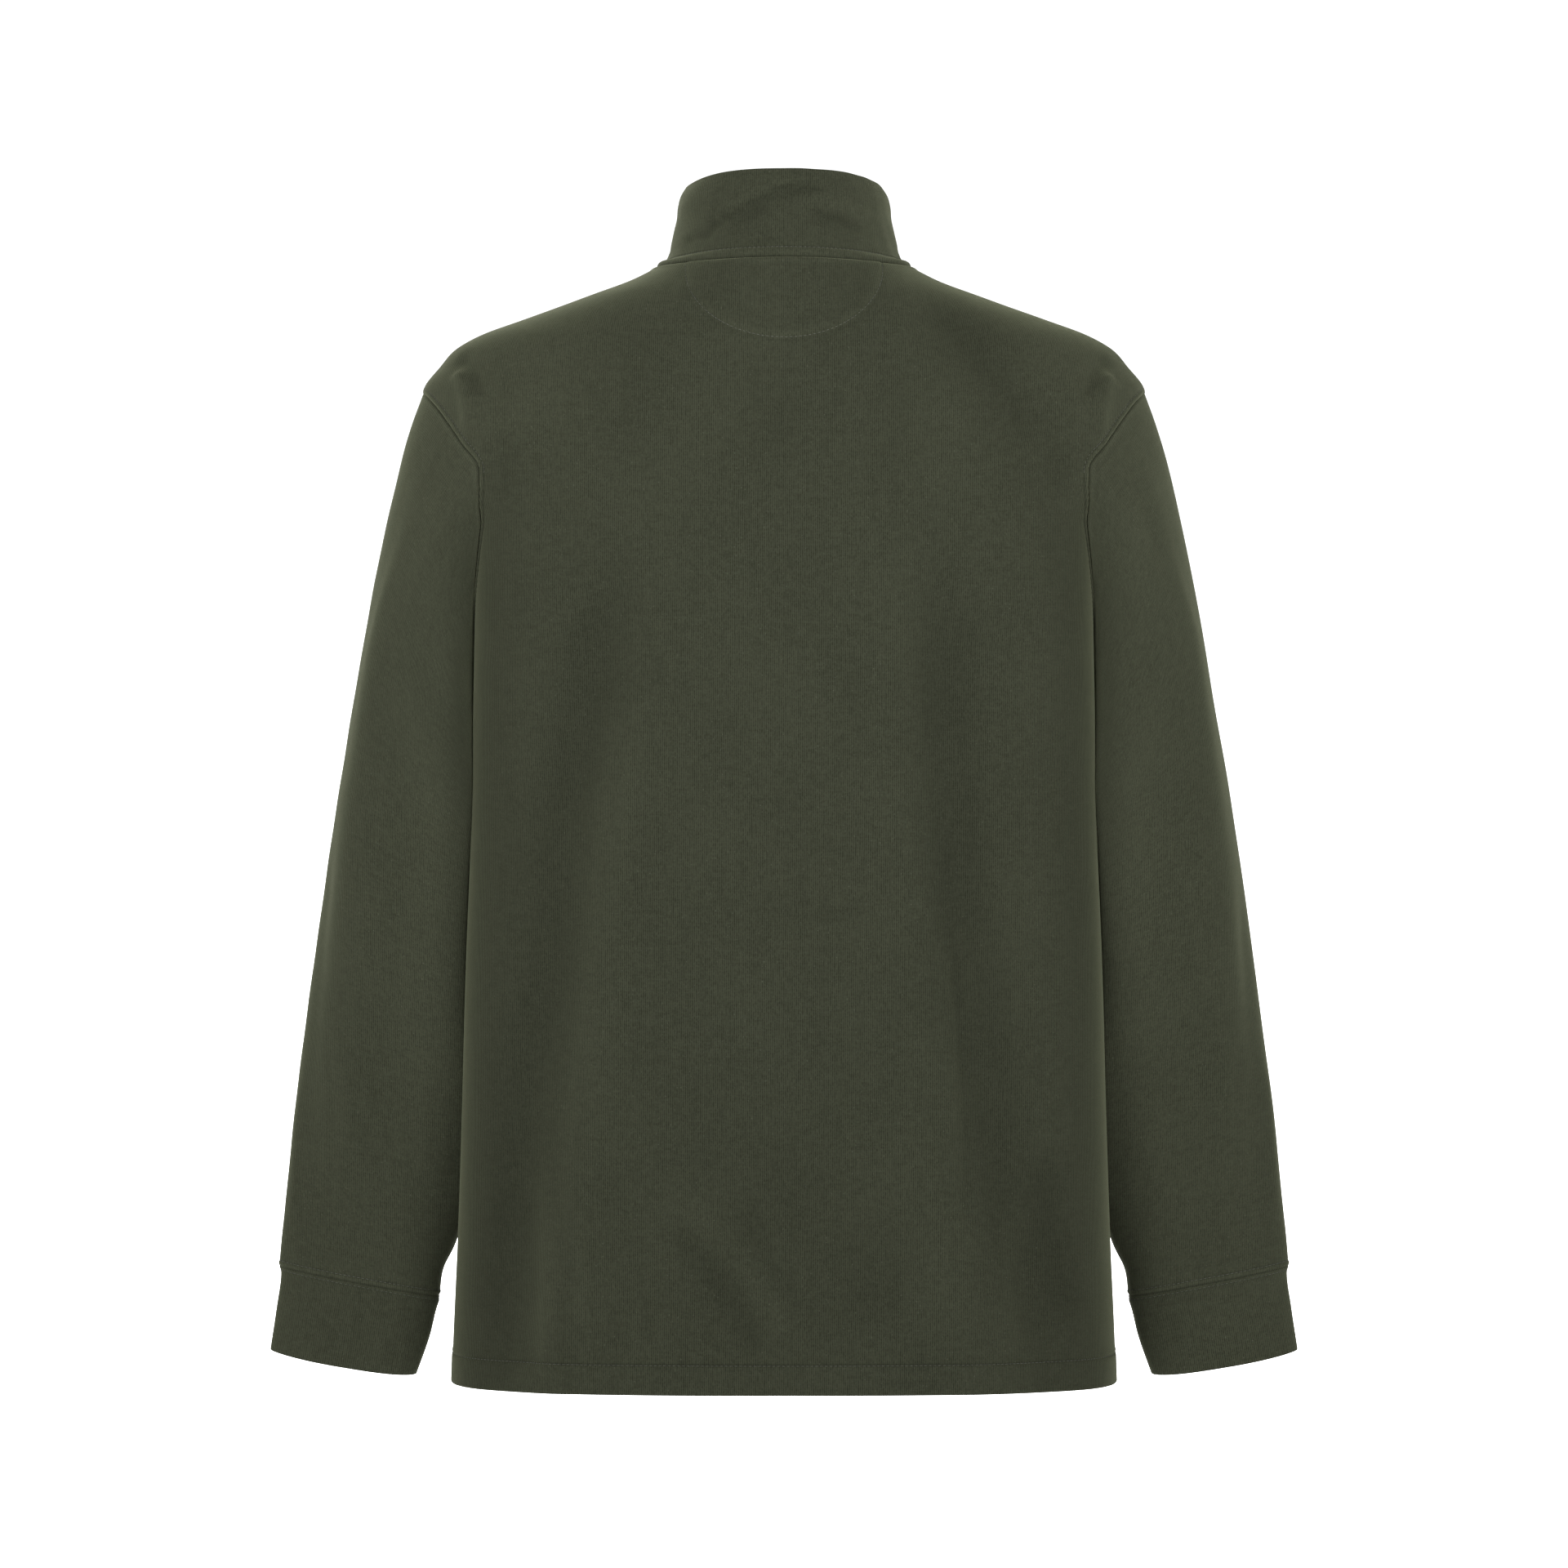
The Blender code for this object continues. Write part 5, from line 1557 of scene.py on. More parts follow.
@dataclass(frozen=True)
class HalfMoon:
    """The half-moon patch inside the back neck, and how the back lies over it."""

    half_width: float = 0.0635
    top: float = 0.003
    straight: float = 0.008
    round: float = 0.0450
    rows: int = 16
    columns: int = 48
    stitch_from: float = 0.002
    stitch_turns: int = 160
    stitch_sides: int = 8
    middle_level: float = -0.001
    lowest: float = 0.08
    steepest: float = 0.02
    raised: float = 0.00050
    raised_reach: Fade = Fade(-0.001, 0.004)
    groove: Hump = Hump(0.0, 0.0010)
    groove_depth: float = 0.00045
    groove_shade: float = 0.12
    fold_in: Fade = Fade(0.0006, 0.0012)
    fold_out: Fade = Fade(0.0048, 0.0030)
    fold_down: Fade = Fade(0.004, 0.010)
    fold_height: float = 0.00025
    fold_light: float = 0.12
    beyond: Hump = Hump(0.0120, 0.0050)
    beyond_shade: float = 0.05

    def edge(self, turns: Grid) -> Line:
        """The x and the drop below the neck seam of its edge, at turns from left to right."""
        return self.half_width * np.cos(turns), self.straight + self.round * np.sin(turns)

    def stitch_line(self) -> Line:
        """The x and the drop of its line of stitches, which also runs up both straight sides."""
        x, drop = self.edge(np.linspace(0.0, math.pi, self.stitch_turns))
        side = np.linspace(self.stitch_from, self.straight, self.stitch_sides)[:-1]
        ends = (np.full(len(side), x[end]) for end in (0, -1))
        return np.concatenate([next(ends), x, next(ends)]), np.concatenate([side, drop, side[::-1]])

    def _inside(self, x: Grid, drop: Grid) -> Grid:
        """How far inside the line of stitches each point is. It is under 0 outside."""
        across = (x / self.half_width) ** 2
        depth = self.straight + self.round * np.sqrt(np.clip(1 - across, 0, 1))
        slope = (self.round * x / self.half_width**2) ** 2 / np.maximum(1 - across, self.steepest)
        to_side = self.half_width - np.abs(x)
        return np.minimum(np.where(to_side > 0, (depth - drop) / np.sqrt(1 + slope), to_side), to_side)

    def over(self, face: Grid) -> tuple[Grid, Grid]:
        """How far the back stands out over the patch, and its painted shade there: darker in the groove and
        beyond the fold, painted light on the fold.

        Args:
            face: The back's points.

        Returns:
            The push, and the painted shade.
        """
        x, drop = face[..., 0], self.middle_level - face[..., 2]
        inside = self._inside(x, drop)
        near = (face[..., 1] > 0) & (drop < self.lowest)
        groove = self.groove.at(inside)
        fold = self.fold_in.at(inside) * (1 - self.fold_out.at(inside)) * self.fold_down.at(drop)
        push = self.raised * self.raised_reach.at(inside) - self.groove_depth * groove
        # Painted shade in the groove and beyond the fold, painted highlight on the fold.
        shade = self.groove_shade * groove - self.fold_light * fold
        push, shade = push + self.fold_height * fold, shade + self.beyond_shade * self.beyond.at(inside)
        return np.where(near, push, 0.0), np.where(near, shade, 0.0)


ARMHOLE_RELIEF = SeamRelief(0.0006, 0.0006, 0.0021, 0.0013, 0.0004, 0.0040, 0.0007)
SLEEVE_END_RELIEF = SeamRelief(0.0003, 0.0005, 0.0019, 0.0013, 0.0003, 0.0037, 0.0006)
CUFF_RELIEF = SeamRelief(0.0004, 0.0001, 0.0014, 0.0008, 0.0003, 0.0027, 0.0006)
COLLAR_RELIEF = SeamRelief(0.0009, 0.0009, 0.0036, 0.0022, 0.0006, 0.0070, 0.0006)
BELOW_COLLAR_RELIEF = SeamRelief(0.0008, 0.0002, 0.0026, 0.0016)
BAND_RELIEF = SeamRelief(0.0, groove=0.00032, groove_at=0.0024, groove_width=0.0007)
HEM_RELIEF = SeamRelief(0.0, groove=0.0008, groove_at=0.0195, groove_width=0.0009)
SIDED_RELIEFS = (
    ("armhole", "back_panel", ARMHOLE_RELIEF),
    ("armhole", "front_panel", ARMHOLE_RELIEF),
    ("armhole", "sleeve", SeamRelief(0.0006, 0.0002, 0.0022, 0.0014)),
    ("cuff", "sleeve", SLEEVE_END_RELIEF),
    ("cuff", "cuff", CUFF_RELIEF),
    ("underarm", "sleeve", SeamRelief(0.0004, 0.0002)),
    ("cuff_join", "cuff", SeamRelief(0.0005, 0.0002)),
    ("side", "back_panel", SeamRelief(0.0006, 0.0004)),
    ("side", "front_panel", SeamRelief(0.0006, 0.0003)),
    ("shoulder", "back_panel", SeamRelief(0.0006, 0.0006)),
    ("shoulder", "front_panel", SeamRelief(0.0006, 0.0002)),
)


@dataclass
class ShirtCloth:
    """Every cut piece of cloth, sewn together: panels, sleeves, cuffs, collar, bands and patch."""

    cloth: float = 0.0018
    doubled: float = 0.0026
    band_cloth: float = 0.0018
    patch_cloth: float = 0.0010
    hem_cloth: float = 0.0030
    back_columns: int = 180
    front_columns: int = 70
    slot_columns: int = 6
    body_rows: int = 104
    armhole_rows: int = 72
    shoulder_rows: int = 72
    sleeve_rows: int = 146
    cuff_rows: int = 36
    band_foot: float = 0.0045
    band_gap: float = 0.0003
    band_box: float = 0.0260
    band_reach: int = 12
    band_below: int = 6
    band_row: float = 0.0022
    band_ends: tuple[float, float] = (0.0036, 0.0030)
    band_middle: tuple[float, int] = (0.0075, 7)
    sewn_past_tip: int = 8
    sewn_below_underarm: int = 2
    sewn_behind: float = 0.68
    neck_roll: Fade = Fade(0.070, 0.010)
    collar_roll: float = 0.9
    panel_roll: float = 2.0
    tip_flat: Fade = Fade(0.010, 0.024)
    tip_relief: float = 0.12
    torso: TorsoForm = field(default_factory=TorsoForm)
    moon: HalfMoon = field(default_factory=HalfMoon)
    pieces: dict[str, ClothPiece] = field(default_factory=dict)
    seams: dict[str, Grid] = field(default_factory=dict)
    away: dict[tuple[str, str], Grid] = field(default_factory=dict)

    def __post_init__(self) -> None:
        """Works out the slot's place and the forms of sleeve and collar."""
        self.shades = ClothShade(self.torso)
        self.sleeve = SleeveForm(self.torso, self.armhole_rows)
        self.collar = CollarForm(self.torso.slot_half)
        self.hem_levels = [HEM_LEVEL + rise for rise in HEM_RISES]
        self.underarm = len(self.hem_levels) + self.body_rows
        self.foot = self.underarm + self.armhole_rows // 2
        self.tip = self.underarm + self.armhole_rows

    def _collar_shares(self) -> Grid:
        """Shares of the collar's height at its rows, close together at its seam and its fold."""
        return shares_of(np.concatenate([np.linspace(*steps) for steps in COLLAR_STEPS]))

    def _rows(self) -> list[tuple[float, float, float]]:
        """Each row of the panels, up from the hem: its level, and the y where each panel ends.

        Returns:
            The level, the back's y and the front's y of each row.
        """
        def seam_rows(seam: Sequence[SeamPoint], levels: Iterable[float]) -> list[tuple[float, float, float]]:
            """Rows whose two panels end at one seam."""
            ends = [float(np.interp(level, column(seam, "level"), column(seam, "y"))) for level in levels]
            return [(level, y, y) for level, y in zip(levels, ends)]

        up, hem_end = crowded(self.body_rows, 1.0, 0.5), self.torso.hem_end
        body = HEM_LEVEL + hem_end + (UNDERARM_LEVEL - HEM_LEVEL - hem_end) * up
        rows = seam_rows(SIDE_SEAM, self.hem_levels + body[:-1].tolist())
        for share in np.linspace(0, 1, self.armhole_rows + 1):
            edge = read(ARMHOLE, column(ARMHOLE, "share"), share)
            rows.append((float(self.torso.armhole_level(share)), float(edge.back_y), float(edge.front_y)))
        fine = np.linspace(SHOULDER_TIP_LEVEL, NECK_LEVEL, 240)
        steps = np.hypot(np.diff(self.torso.ring(fine).half_width), np.diff(fine))
        walked = np.concatenate([[0], np.cumsum(steps)])
        up = np.interp(crowded(self.shoulder_rows, 0.3, 0.3) * walked[-1], walked, fine)
        return rows + seam_rows(SHOULDER_SEAM, up[1:].tolist())

    def _within_slot(self) -> Grid:
        """The x of the columns within the front's slot."""
        return np.linspace(-1, 1, self.slot_columns + 1)[1:-1] * self.torso.slot_half

    def _panel_angles(self) -> tuple[Grid, Grid, Grid]:
        """The levels, and the angles of the back's and the front's columns, row by row.

        Returns:
            The levels, and the back's and the front's angles.
        """
        levels, back, front = [], [], []
        both_fine = crowded(self.back_columns, 0.12, 0.12, 26)
        side_fine = crowded(self.front_columns, 0.6, 0.14, 20)
        for level, back_y, front_y in self._rows():
            ring = self.torso.ring(level)
            side = float(self.torso.angle_at_y(level, back_y))
            levels.append([level])
            back.append(self.torso.angles_round(level, side, math.pi - side, both_fine))
            side = float(self.torso.angle_at_y(level, front_y))
            slot = -math.acos((self.torso.slot_half / ring.half_width) ** (ring.front_square / 2))
            left = self.torso.angles_round(level, slot, side, side_fine)
            within = -np.arccos(power_of(self._within_slot() / ring.half_width, ring.front_square / 2))
            front.append(np.concatenate([-math.pi - left[::-1], within, left]))
        return np.array(levels), np.array(back), np.array(front)

    def build(self) -> None:
        """Builds and sews every piece, then adds the relief of seams and edges."""
        levels, back_angles, front_angles = self._panel_angles()
        back, front = self.torso.point(levels, back_angles), self.torso.point(levels, front_angles)
        left_edge = self.front_columns + self.slot_columns
        right = slice(self.front_columns + 1)
        neck_angles = np.concatenate(
            [front_angles[-1, left_edge:], back_angles[-1, 1:-1], front_angles[-1, right] + 2 * math.pi]
        )
        neck = np.concatenate([front[-1, left_edge:], back[-1, 1:-1], front[-1, right]])
        collar_shares = self._collar_shares()
        collar = self.collar.grid(neck, neck_angles, self.front_columns, collar_shares)
        notch = np.zeros((len(levels) - 1, front.shape[1] - 1), bool)
        notch[self.foot :, self.front_columns : left_edge] = True
        under = self._under_band(front, collar, collar_shares)
        thickness = np.where(levels < HEM_LEVEL + self.torso.hem_end, self.hem_cloth, self.cloth)
        shades = [self.shades.of_torso(levels, angles) for angles in (back_angles, front_angles)]
        self._keep("back_panel", back, thickness, shades[0])
        self._keep("front_panel", front, thickness, shades[1], left_out=notch)
        self._keep("collar", collar, self.doubled, self.shades.of_collar(collar))
        self._keep("placket_under", under, self.band_cloth)
        for side in Side:
            self._sleeve_and_cuff(side)
        sew(list(self.pieces.values()))
        self._find_seams()
        self._lay_seams()
        self._top_band(under)
        self._patch()

    def _keep(self, name: str, outer: Grid, thickness: Grid | float, shade: Grid | float = 0.0,
              **settings: object) -> None:
        """Adds a piece."""
        self.pieces[name] = ClothPiece(name, outer, thickness, **settings)
        self.pieces[name].shade += shade

    def _sleeve_and_cuff(self, side: Side) -> None:
        """Builds a sleeve and its cuff."""
        sleeve = self.sleeve.grid(side, crowded(self.sleeve_rows, 0.12, 0.10, 20))
        cuff = self.sleeve.cuff_grid(sleeve[-1], crowded(self.cuff_rows, 0.15, 0.10, 12))
        for name, grid, thickness in (("sleeve", sleeve, self.cloth), ("cuff", cuff, self.doubled)):
            if side is Side.RIGHT:
                grid = grid[:, ::-1] * (-1, 1, 1)
            self._keep(f"{name}_{side.ending}", grid, thickness, self.shades.of_sleeve(grid), closed=True)

    def _under_band(self, front: Grid, collar: Grid, shares: Grid) -> Grid:
        """The under band's points, which fill the front's slot and run on up the collar."""
        first, last = self.front_columns, self.front_columns + self.slot_columns
        up = []
        for share, ring in zip(shares[1:], collar[1:]):
            within = self.collar.point(share, self.collar.slot_angle(share, self._within_slot()))
            up.append(np.concatenate([ring[-1:], within, ring[:1]]))
        return np.concatenate([front[self.foot :, first : last + 1], np.array(up)])

    def _across_band(self) -> Grid:
        """The x of the top band's columns, closer together at its edges."""
        edge = self.torso.slot_half + self.torso.band_overlap - np.array(BAND_EDGE_STEPS)
        half, count = self.band_middle
        return np.concatenate([-edge, np.linspace(-half, half, count), edge[::-1]])

    def _top_band(self, under: Grid) -> None:
        """Makes the top band from the points of front, collar and under band, moved out.

        Args:
            under: The under band's points.
        """
        front, collar = self.pieces["front_panel"].outer, self.pieces["collar"].outer
        across, reach = self._across_band(), self.band_reach
        beside = slice(self.front_columns - reach, self.front_columns + self.slot_columns + reach + 1)
        lines = [line[beside] for line in front[self.foot - self.band_below :]]
        for ring, line in zip(collar[1:], under[front.shape[0] - self.foot :]):
            lines.append(np.concatenate([ring[-reach:], line[1:-1], ring[:reach]]))
        lying = np.array([
            np.stack([across, *(np.interp(across, line[:, 0], line[:, i]) for i in (1, 2))], axis=1)
            for line in lines
        ])
        walked = lengths_along(lying[:, lying.shape[1] // 2])
        start = walked[self.band_below] - self.band_foot
        after_foot, before_top = self.band_ends
        middle = np.arange(start + after_foot, walked[-1] - before_top, self.band_row)
        ends = np.array(BAND_END_STEPS)
        wanted = np.concatenate([start + ends, middle, walked[-1] - ends[::-1]])
        grid = np.stack([along_line(wanted, walked, lying[:, col]) for col in range(lying.shape[1])], axis=1)
        raised = grid + grid_normals(grid) * (self.band_gap + self.band_cloth)
        self._keep("placket_top", raised, self.band_cloth)
        side, foot, top = across[-1] - np.abs(across), wanted - wanted[0], wanted[-1] - wanted
        band = self.pieces["placket_top"]
        band.push(BAND_RELIEF.push(np.minimum(side, foot[:, None])))
        band.round_edge(np.minimum(side, np.minimum(foot, top)[:, None]))

    def _patch(self) -> None:
        """Makes the half-moon patch from the back's inner points, moved in."""
        back = self.pieces["back_panel"]
        inside = back.outer - back.outward * back.thickness[..., None]
        x, depth = self.moon.edge(np.linspace(0, math.pi, self.moon.columns + 1))
        grid = np.array([
            self._on_back(inside, x, self.moon.top + (depth - self.moon.top) * share)
            for share in np.linspace(1, 0, self.moon.rows + 1)
        ])
        self._keep("half_moon_patch", grid - grid_normals(grid) * self.band_gap, self.patch_cloth)

    def _on_back(self, face: Grid, x: Grid, drop: Grid) -> Grid:
        """Points of a face of the back at an x and a drop below the neck seam.

        Args:
            face: The face's points.
            x: Each place across.
            drop: How far each is below the seam.

        Returns:
            The points on the face.
        """
        middle = self.back_columns // 2
        drops = face[-1, middle, 2] - face[::-1, middle, 2]
        found = []
        for across, down in zip(x, drop):
            row = len(drops) - 1 - np.interp(down, drops, np.arange(len(drops)))
            lower = min(int(row), len(drops) - 2)
            line = face[lower] + (face[lower + 1] - face[lower]) * (row - lower)
            found.append(along_line(-across, -line[:, 0], line))
        return np.array(found)

    def half_moon(self) -> Line:
        """The line of stitches that holds the patch, on the back's outer face."""
        back = self.pieces["back_panel"]
        line = self._on_back(back.outer, *self.moon.stitch_line())
        flat, ways = back.outer.reshape(-1, 3), back.outward.reshape(-1, 3)
        return line, np.array([ways[((flat - spot) ** 2).sum(axis=1).argmin()] for spot in line])

    def _find_seams(self) -> None:
        """Keeps each seam as a line of points."""
        back = self.pieces["back_panel"].outer
        for side in Side:
            sleeve, cuff = (self.pieces[f"{name}_{side.ending}"].outer for name in ("sleeve", "cuff"))
            edge = back[:, 0 if side is Side.LEFT else -1]
            for name, line in (
                ("armhole", sleeve[0]), ("underarm", sleeve[:, 0]),
                ("cuff", cuff[0]), ("cuff_join", cuff[:, 0]),
                ("side", edge[: self.underarm + 1]), ("shoulder", edge[self.tip :]),
            ):
                self.seams[f"{name}_{side.ending}"] = line.copy()
        self.seams["neck"] = self.pieces["collar"].outer[0].copy()

    def _lay_seams(self) -> None:
        """Pushes the cloth in and out beside each seam, paints shade and light beside it, and rounds the
        folded edges.
        """
        pushes = {name: np.zeros(piece.outer.shape[:2]) for name, piece in self.pieces.items()}

        def lay(name: str, relief: SeamRelief, away: Grid, kept: Grid | float = 1.0,
                raised: Grid | float = 1.0) -> None:
            """Adds a relief and its painted shade to a piece, given each point's distance to the seam."""
            pushes[name] += relief.push(away) * kept * raised
            self.pieces[name].shade += relief.shade(away) * kept

        def away_from(seam: str, name: str) -> Grid:
            """Each point's distance to a seam, which is kept for the stitches."""
            self.away[(seam, name)] = distance_to(self.pieces[name].outer, self.seams[seam])
            return self.away[(seam, name)]

        for seam, piece, relief in SIDED_RELIEFS:
            for side in Side:
                name = piece if piece.endswith("panel") else f"{piece}_{side.ending}"
                kept = self._clear_of_tip(name, side) if seam == "armhole" else 1.0
                lay(name, relief, away_from(f"{seam}_{side.ending}", name), kept)
        for name, relief, roll in (
            ("collar", COLLAR_RELIEF, self.collar_roll),
            ("back_panel", BELOW_COLLAR_RELIEF, self.panel_roll),
            ("front_panel", BELOW_COLLAR_RELIEF, self.panel_roll),
        ):
            raised = 1 + roll * self.neck_roll.at(np.abs(self.pieces[name].outer[..., 0]))
            lay(name, relief, away_from("neck", name), raised=raised)
        # Painted shade and painted light over the half-moon patch.
        over_patch, shade = self.moon.over(self.pieces["back_panel"].outer)
        pushes["back_panel"] += over_patch
        self.pieces["back_panel"].shade += shade
        for name in ("back_panel", "front_panel"):
            lay(name, HEM_RELIEF, lengths_along(self.pieces[name].outer, axis=0))
        for name, piece in self.pieces.items():
            if name != "placket_under":
                piece.push(pushes[name])
            if name in ("back_panel", "front_panel"):
                piece.round_edge(lengths_along(piece.outer, axis=0))
            elif name in ("collar", "cuff_left", "cuff_right"):
                piece.round_edge(lengths_along(piece.outer[::-1], axis=0)[::-1])

    def _clear_of_tip(self, name: str, side: Side) -> Grid:
        """Near 0 at the shoulder tip, where the armhole's relief is pressed flat, and 1 away from it."""
        tip = self.seams[f"shoulder_{side.ending}"][0]
        away = np.linalg.norm(self.pieces[name].outer - tip, axis=-1)
        return self.tip_relief + (1 - self.tip_relief) * self.tip_flat.at(away)

    def dress(self, finishes: Finishes) -> None:
        """Places every piece.

        Args:
            finishes: The materials.
        """
        for name, piece in self.pieces.items():
            patch = name == "half_moon_patch"
            slot, finish = ("patch_cloth", finishes.patch) if patch else ("rib_knit", finishes.knit)
            shown = place(f"{name}_cloth", piece.mesh(), finish, slot, name)

    def _stitch_line(self, seam: str, name: str, relief: SeamRelief, from_start: bool,
                     rows: Iterable[int] | None = None) -> Line:
        """The row of stitches in a relief's groove, beside a seam of a piece."""
        return line_at(self.pieces[name], self.away[(seam, name)], relief.groove_at, from_start, rows)

    def stitch(self, finishes: Finishes) -> None:
        """Sews the visible rows of stitches.

        Args:
            finishes: The materials.
        """
        thread, above = Thread(), self.tip + self.sewn_past_tip
        front_rows = range(self.underarm - self.sewn_below_underarm, above)
        back_rows = range(self.underarm + round(self.armhole_rows * self.sewn_behind), above)
        groups: dict[str, list[Line]] = {"half_moon_stitches": [self.half_moon()]}
        for side in Side:
            start = side is Side.LEFT
            armhole, cuff, sleeve = (f"{name}_{side.ending}" for name in ("armhole", "cuff", "sleeve"))
            groups[f"{armhole}_stitches"] = [
                self._stitch_line(armhole, "back_panel", ARMHOLE_RELIEF, start, back_rows),
                self._stitch_line(armhole, "front_panel", ARMHOLE_RELIEF, not start, front_rows),
            ]
            groups[f"{cuff}_stitches"] = [
                self._stitch_line(cuff, sleeve, SLEEVE_END_RELIEF, False),
                self._stitch_line(cuff, cuff, CUFF_RELIEF, True),
            ]
        groups["collar_stitches"] = [self._stitch_line("neck", "collar", COLLAR_RELIEF, True)]
        hem_row = HEM_RISES.index(HEM_RELIEF.groove_at)
        groups["hem_stitches"] = [
            (self.pieces[name].outer[hem_row], self.pieces[name].outward[hem_row])
            for name in ("back_panel", "front_panel")
        ]
        groups["placket_stitches"] = self._band_rows()
        for name, lines in groups.items():
            place(name, thread.rows(name, lines), finishes.thread, "rib_knit")

    def _band_rows(self) -> list[Line]:
        """The rows of stitches along both sides of the top band, across its foot and its box."""
        band = self.pieces["placket_top"]
        across, walked = self._across_band(), lengths_along(band.outer[:, band.outer.shape[1] // 2])
        row_at, sewn_in = across[-1] - BAND_RELIEF.groove_at, BAND_RELIEF.groove_at
        left, right = (int(np.abs(across - spot).argmin()) for spot in (-row_at, row_at))
        foot, box = (int(np.abs(walked - spot).argmin()) for spot in (sewn_in, self.band_box))
        up, span = slice(foot, None), slice(left, right + 1)
        return [(band.outer[spots], band.outward[spots])
                for spots in ((up, left), (up, right), (foot, span), (box, span))]


@dataclass
class Buttons:
    """The four buttons of the placket, with their thread and buttonholes."""

    radius: float = 0.0056
    thickness: float = 0.0024
    rim: float = 0.0012
    dish: float = 0.0006
    dish_slope: float = 0.0005
    dish_ring: float = 0.0012
    rounding: float = 0.00035
    round_corners: int = 48
    hole_corners: int = 16
    hole_radius: float = 0.0007
    hole_spread: float = 0.0013
    count: int = 4
    first: float = 0.014
    spacing: float = 0.056
    gap: float = 0.0003
    bar_spread: float = 0.00028
    bar_rise: float = 0.0002
    bar: Thread = Thread(length=0.0032, radius=0.00032, arch=0.0004, dip=0.0009, sides=8, rings=9)
    satin: Thread = Thread(length=0.0016, radius=0.00016, arch=0.00022, dip=0.00012)
    satin_pitch: float = 0.00033
    satin_half: float = 0.0058
    satin_out: float = 0.0012
    satin_end: tuple[float, int] = (0.25, 11)
    satin_lift: float = 0.00005

    def _disc(self, corners: int, radius: float, depth: float, spot: tuple[float, float, float]
              ) -> bpy.types.Object:
        """A new disc or cutter, the only thing selected."""
        deselect_all()
        bpy.ops.mesh.primitive_cylinder_add(vertices=corners, radius=radius, depth=depth, location=spot)
        return bpy.context.object

    def _blank(self) -> bpy.types.Mesh:
        """A four-hole button about +Z with its back at the origin, modelled once.

        Returns:
            The button's mesh.
        """
        button = self._disc(self.round_corners, self.radius, self.thickness, (0, 0, self.thickness / 2))
        bpy.ops.object.mode_set(mode="EDIT")
        bpy.ops.mesh.select_mode(type="FACE")
        bpy.ops.mesh.select_all(action="DESELECT")
        shape = bmesh.from_edit_mesh(button.data)
        for face in shape.faces:
            face.select_set(face.normal.z > 0.9)
        bmesh.update_edit_mesh(button.data)
        for width, depth in ((self.rim, 0.0), (self.dish_slope, -self.dish), (self.dish_ring, 0.0)):
            bpy.ops.mesh.inset(thickness=width, depth=depth)
        bpy.ops.object.mode_set(mode="OBJECT")
        bevel = button.modifiers.new("rounding", "BEVEL")
        bevel.width, bevel.segments, bevel.limit_method = self.rounding, 3, "ANGLE"
        bevel.angle_limit = math.radians(30)
        bpy.ops.object.modifier_apply(modifier=bevel.name)
        ways = (-self.hole_spread, self.hole_spread)
        cutters = [self._disc(self.hole_corners, self.hole_radius, 4 * self.thickness, (x, y, 0))
                   for x in ways for y in ways]
        for cutter in cutters:
            deselect_all()
            button.select_set(True)
            bpy.context.view_layer.objects.active = button
            cut = button.modifiers.new("sewing_hole", "BOOLEAN")
            cut.object, cut.solver = cutter, "EXACT"
            bpy.ops.object.modifier_apply(modifier=cut.name)
            bpy.data.objects.remove(cutter)
        mesh = button.data.copy()
        bpy.data.objects.remove(button)
        return mesh

    def _cross(self) -> Shape:
        """The thread that holds a button: two bars over its face, from hole to hole."""
        points, faces = self.bar.one_stitch()
        level = self.thickness - self.dish + self.bar_rise
        return joined(
            (points + (0, offset + shift, level), faces)
            for offset in (-self.hole_spread, self.hole_spread)
            for shift in (-self.bar_spread, self.bar_spread)
        )

    def _buttonhole(self) -> Shape:
        """A satin-stitched slot about +Z, long along Y.

        Returns:
            The stitches round the slot.
        """
        points, faces = self.satin.one_stitch()
        half, out, (first, count) = self.satin_half, self.satin_out, self.satin_end
        down = np.arange(-half, half + 1e-9, self.satin_pitch)
        spots = [(way * out, y, 0.0) for way in (-1, 1) for y in down]
        spots += [(math.cos(turn) * out, way * half + math.sin(turn) * out * way, turn * way)
                  for way in (-1, 1) for turn in np.linspace(first, math.pi - first, count)]
        return joined(
            (points @ np.array([[math.cos(turn), math.sin(turn), 0], [-math.sin(turn), math.cos(turn), 0],
                                [0, 0, 1]]) + (x, y, 0), faces)
            for x, y, turn in spots
        )

    def build(self, band: ClothPiece, finishes: Finishes) -> None:
        """Models a button and sets a copy of it at each place on the top band.

        Args:
            band: The top band.
            finishes: The shirt's finishes.
        """
        blank = self._blank()
        line = band.outer[::-1, band.outer.shape[1] // 2]
        walked = lengths_along(line)
        right = Vector((-1, 0, 0))
        for number in range(self.count):
            distance = self.first + number * self.spacing
            after = int(np.searchsorted(walked, distance))
            spot = Vector(along_line(distance, walked, line))
            down = Vector(unit(line[after] - line[after - 1]))
            facing = right.cross(down)
            turned = Matrix((right, down, facing)).transposed().to_4x4()
            seat, on_cloth = (Matrix.Translation(spot + facing * up) @ turned
                              for up in (self.gap, self.satin_lift))
            name = f"button_{number + 1}"
            mesh = blank.copy()
            mesh.name = name
            mesh.transform(seat)
            mesh.shade_smooth()
            mesh.set_sharp_from_angle(angle=math.radians(40))
            place(f"{name}_resin", mesh, finishes.resin, "button_plastic", name)
            for part, shape, at in ((f"{name}_thread", self._cross(), seat),
                                    (f"buttonhole_{number + 1}", self._buttonhole(), on_cloth)):
                sewn = mesh_of(part, *shape)
                sewn.transform(at)
                place(part, sewn, finishes.thread, "rib_knit")
        bpy.data.meshes.remove(blank)


@dataclass(frozen=True)
class Softbox:
    """A large soft light, aimed at the shirt."""

    name: str
    place: tuple[float, float, float]
    size: float
    power: float


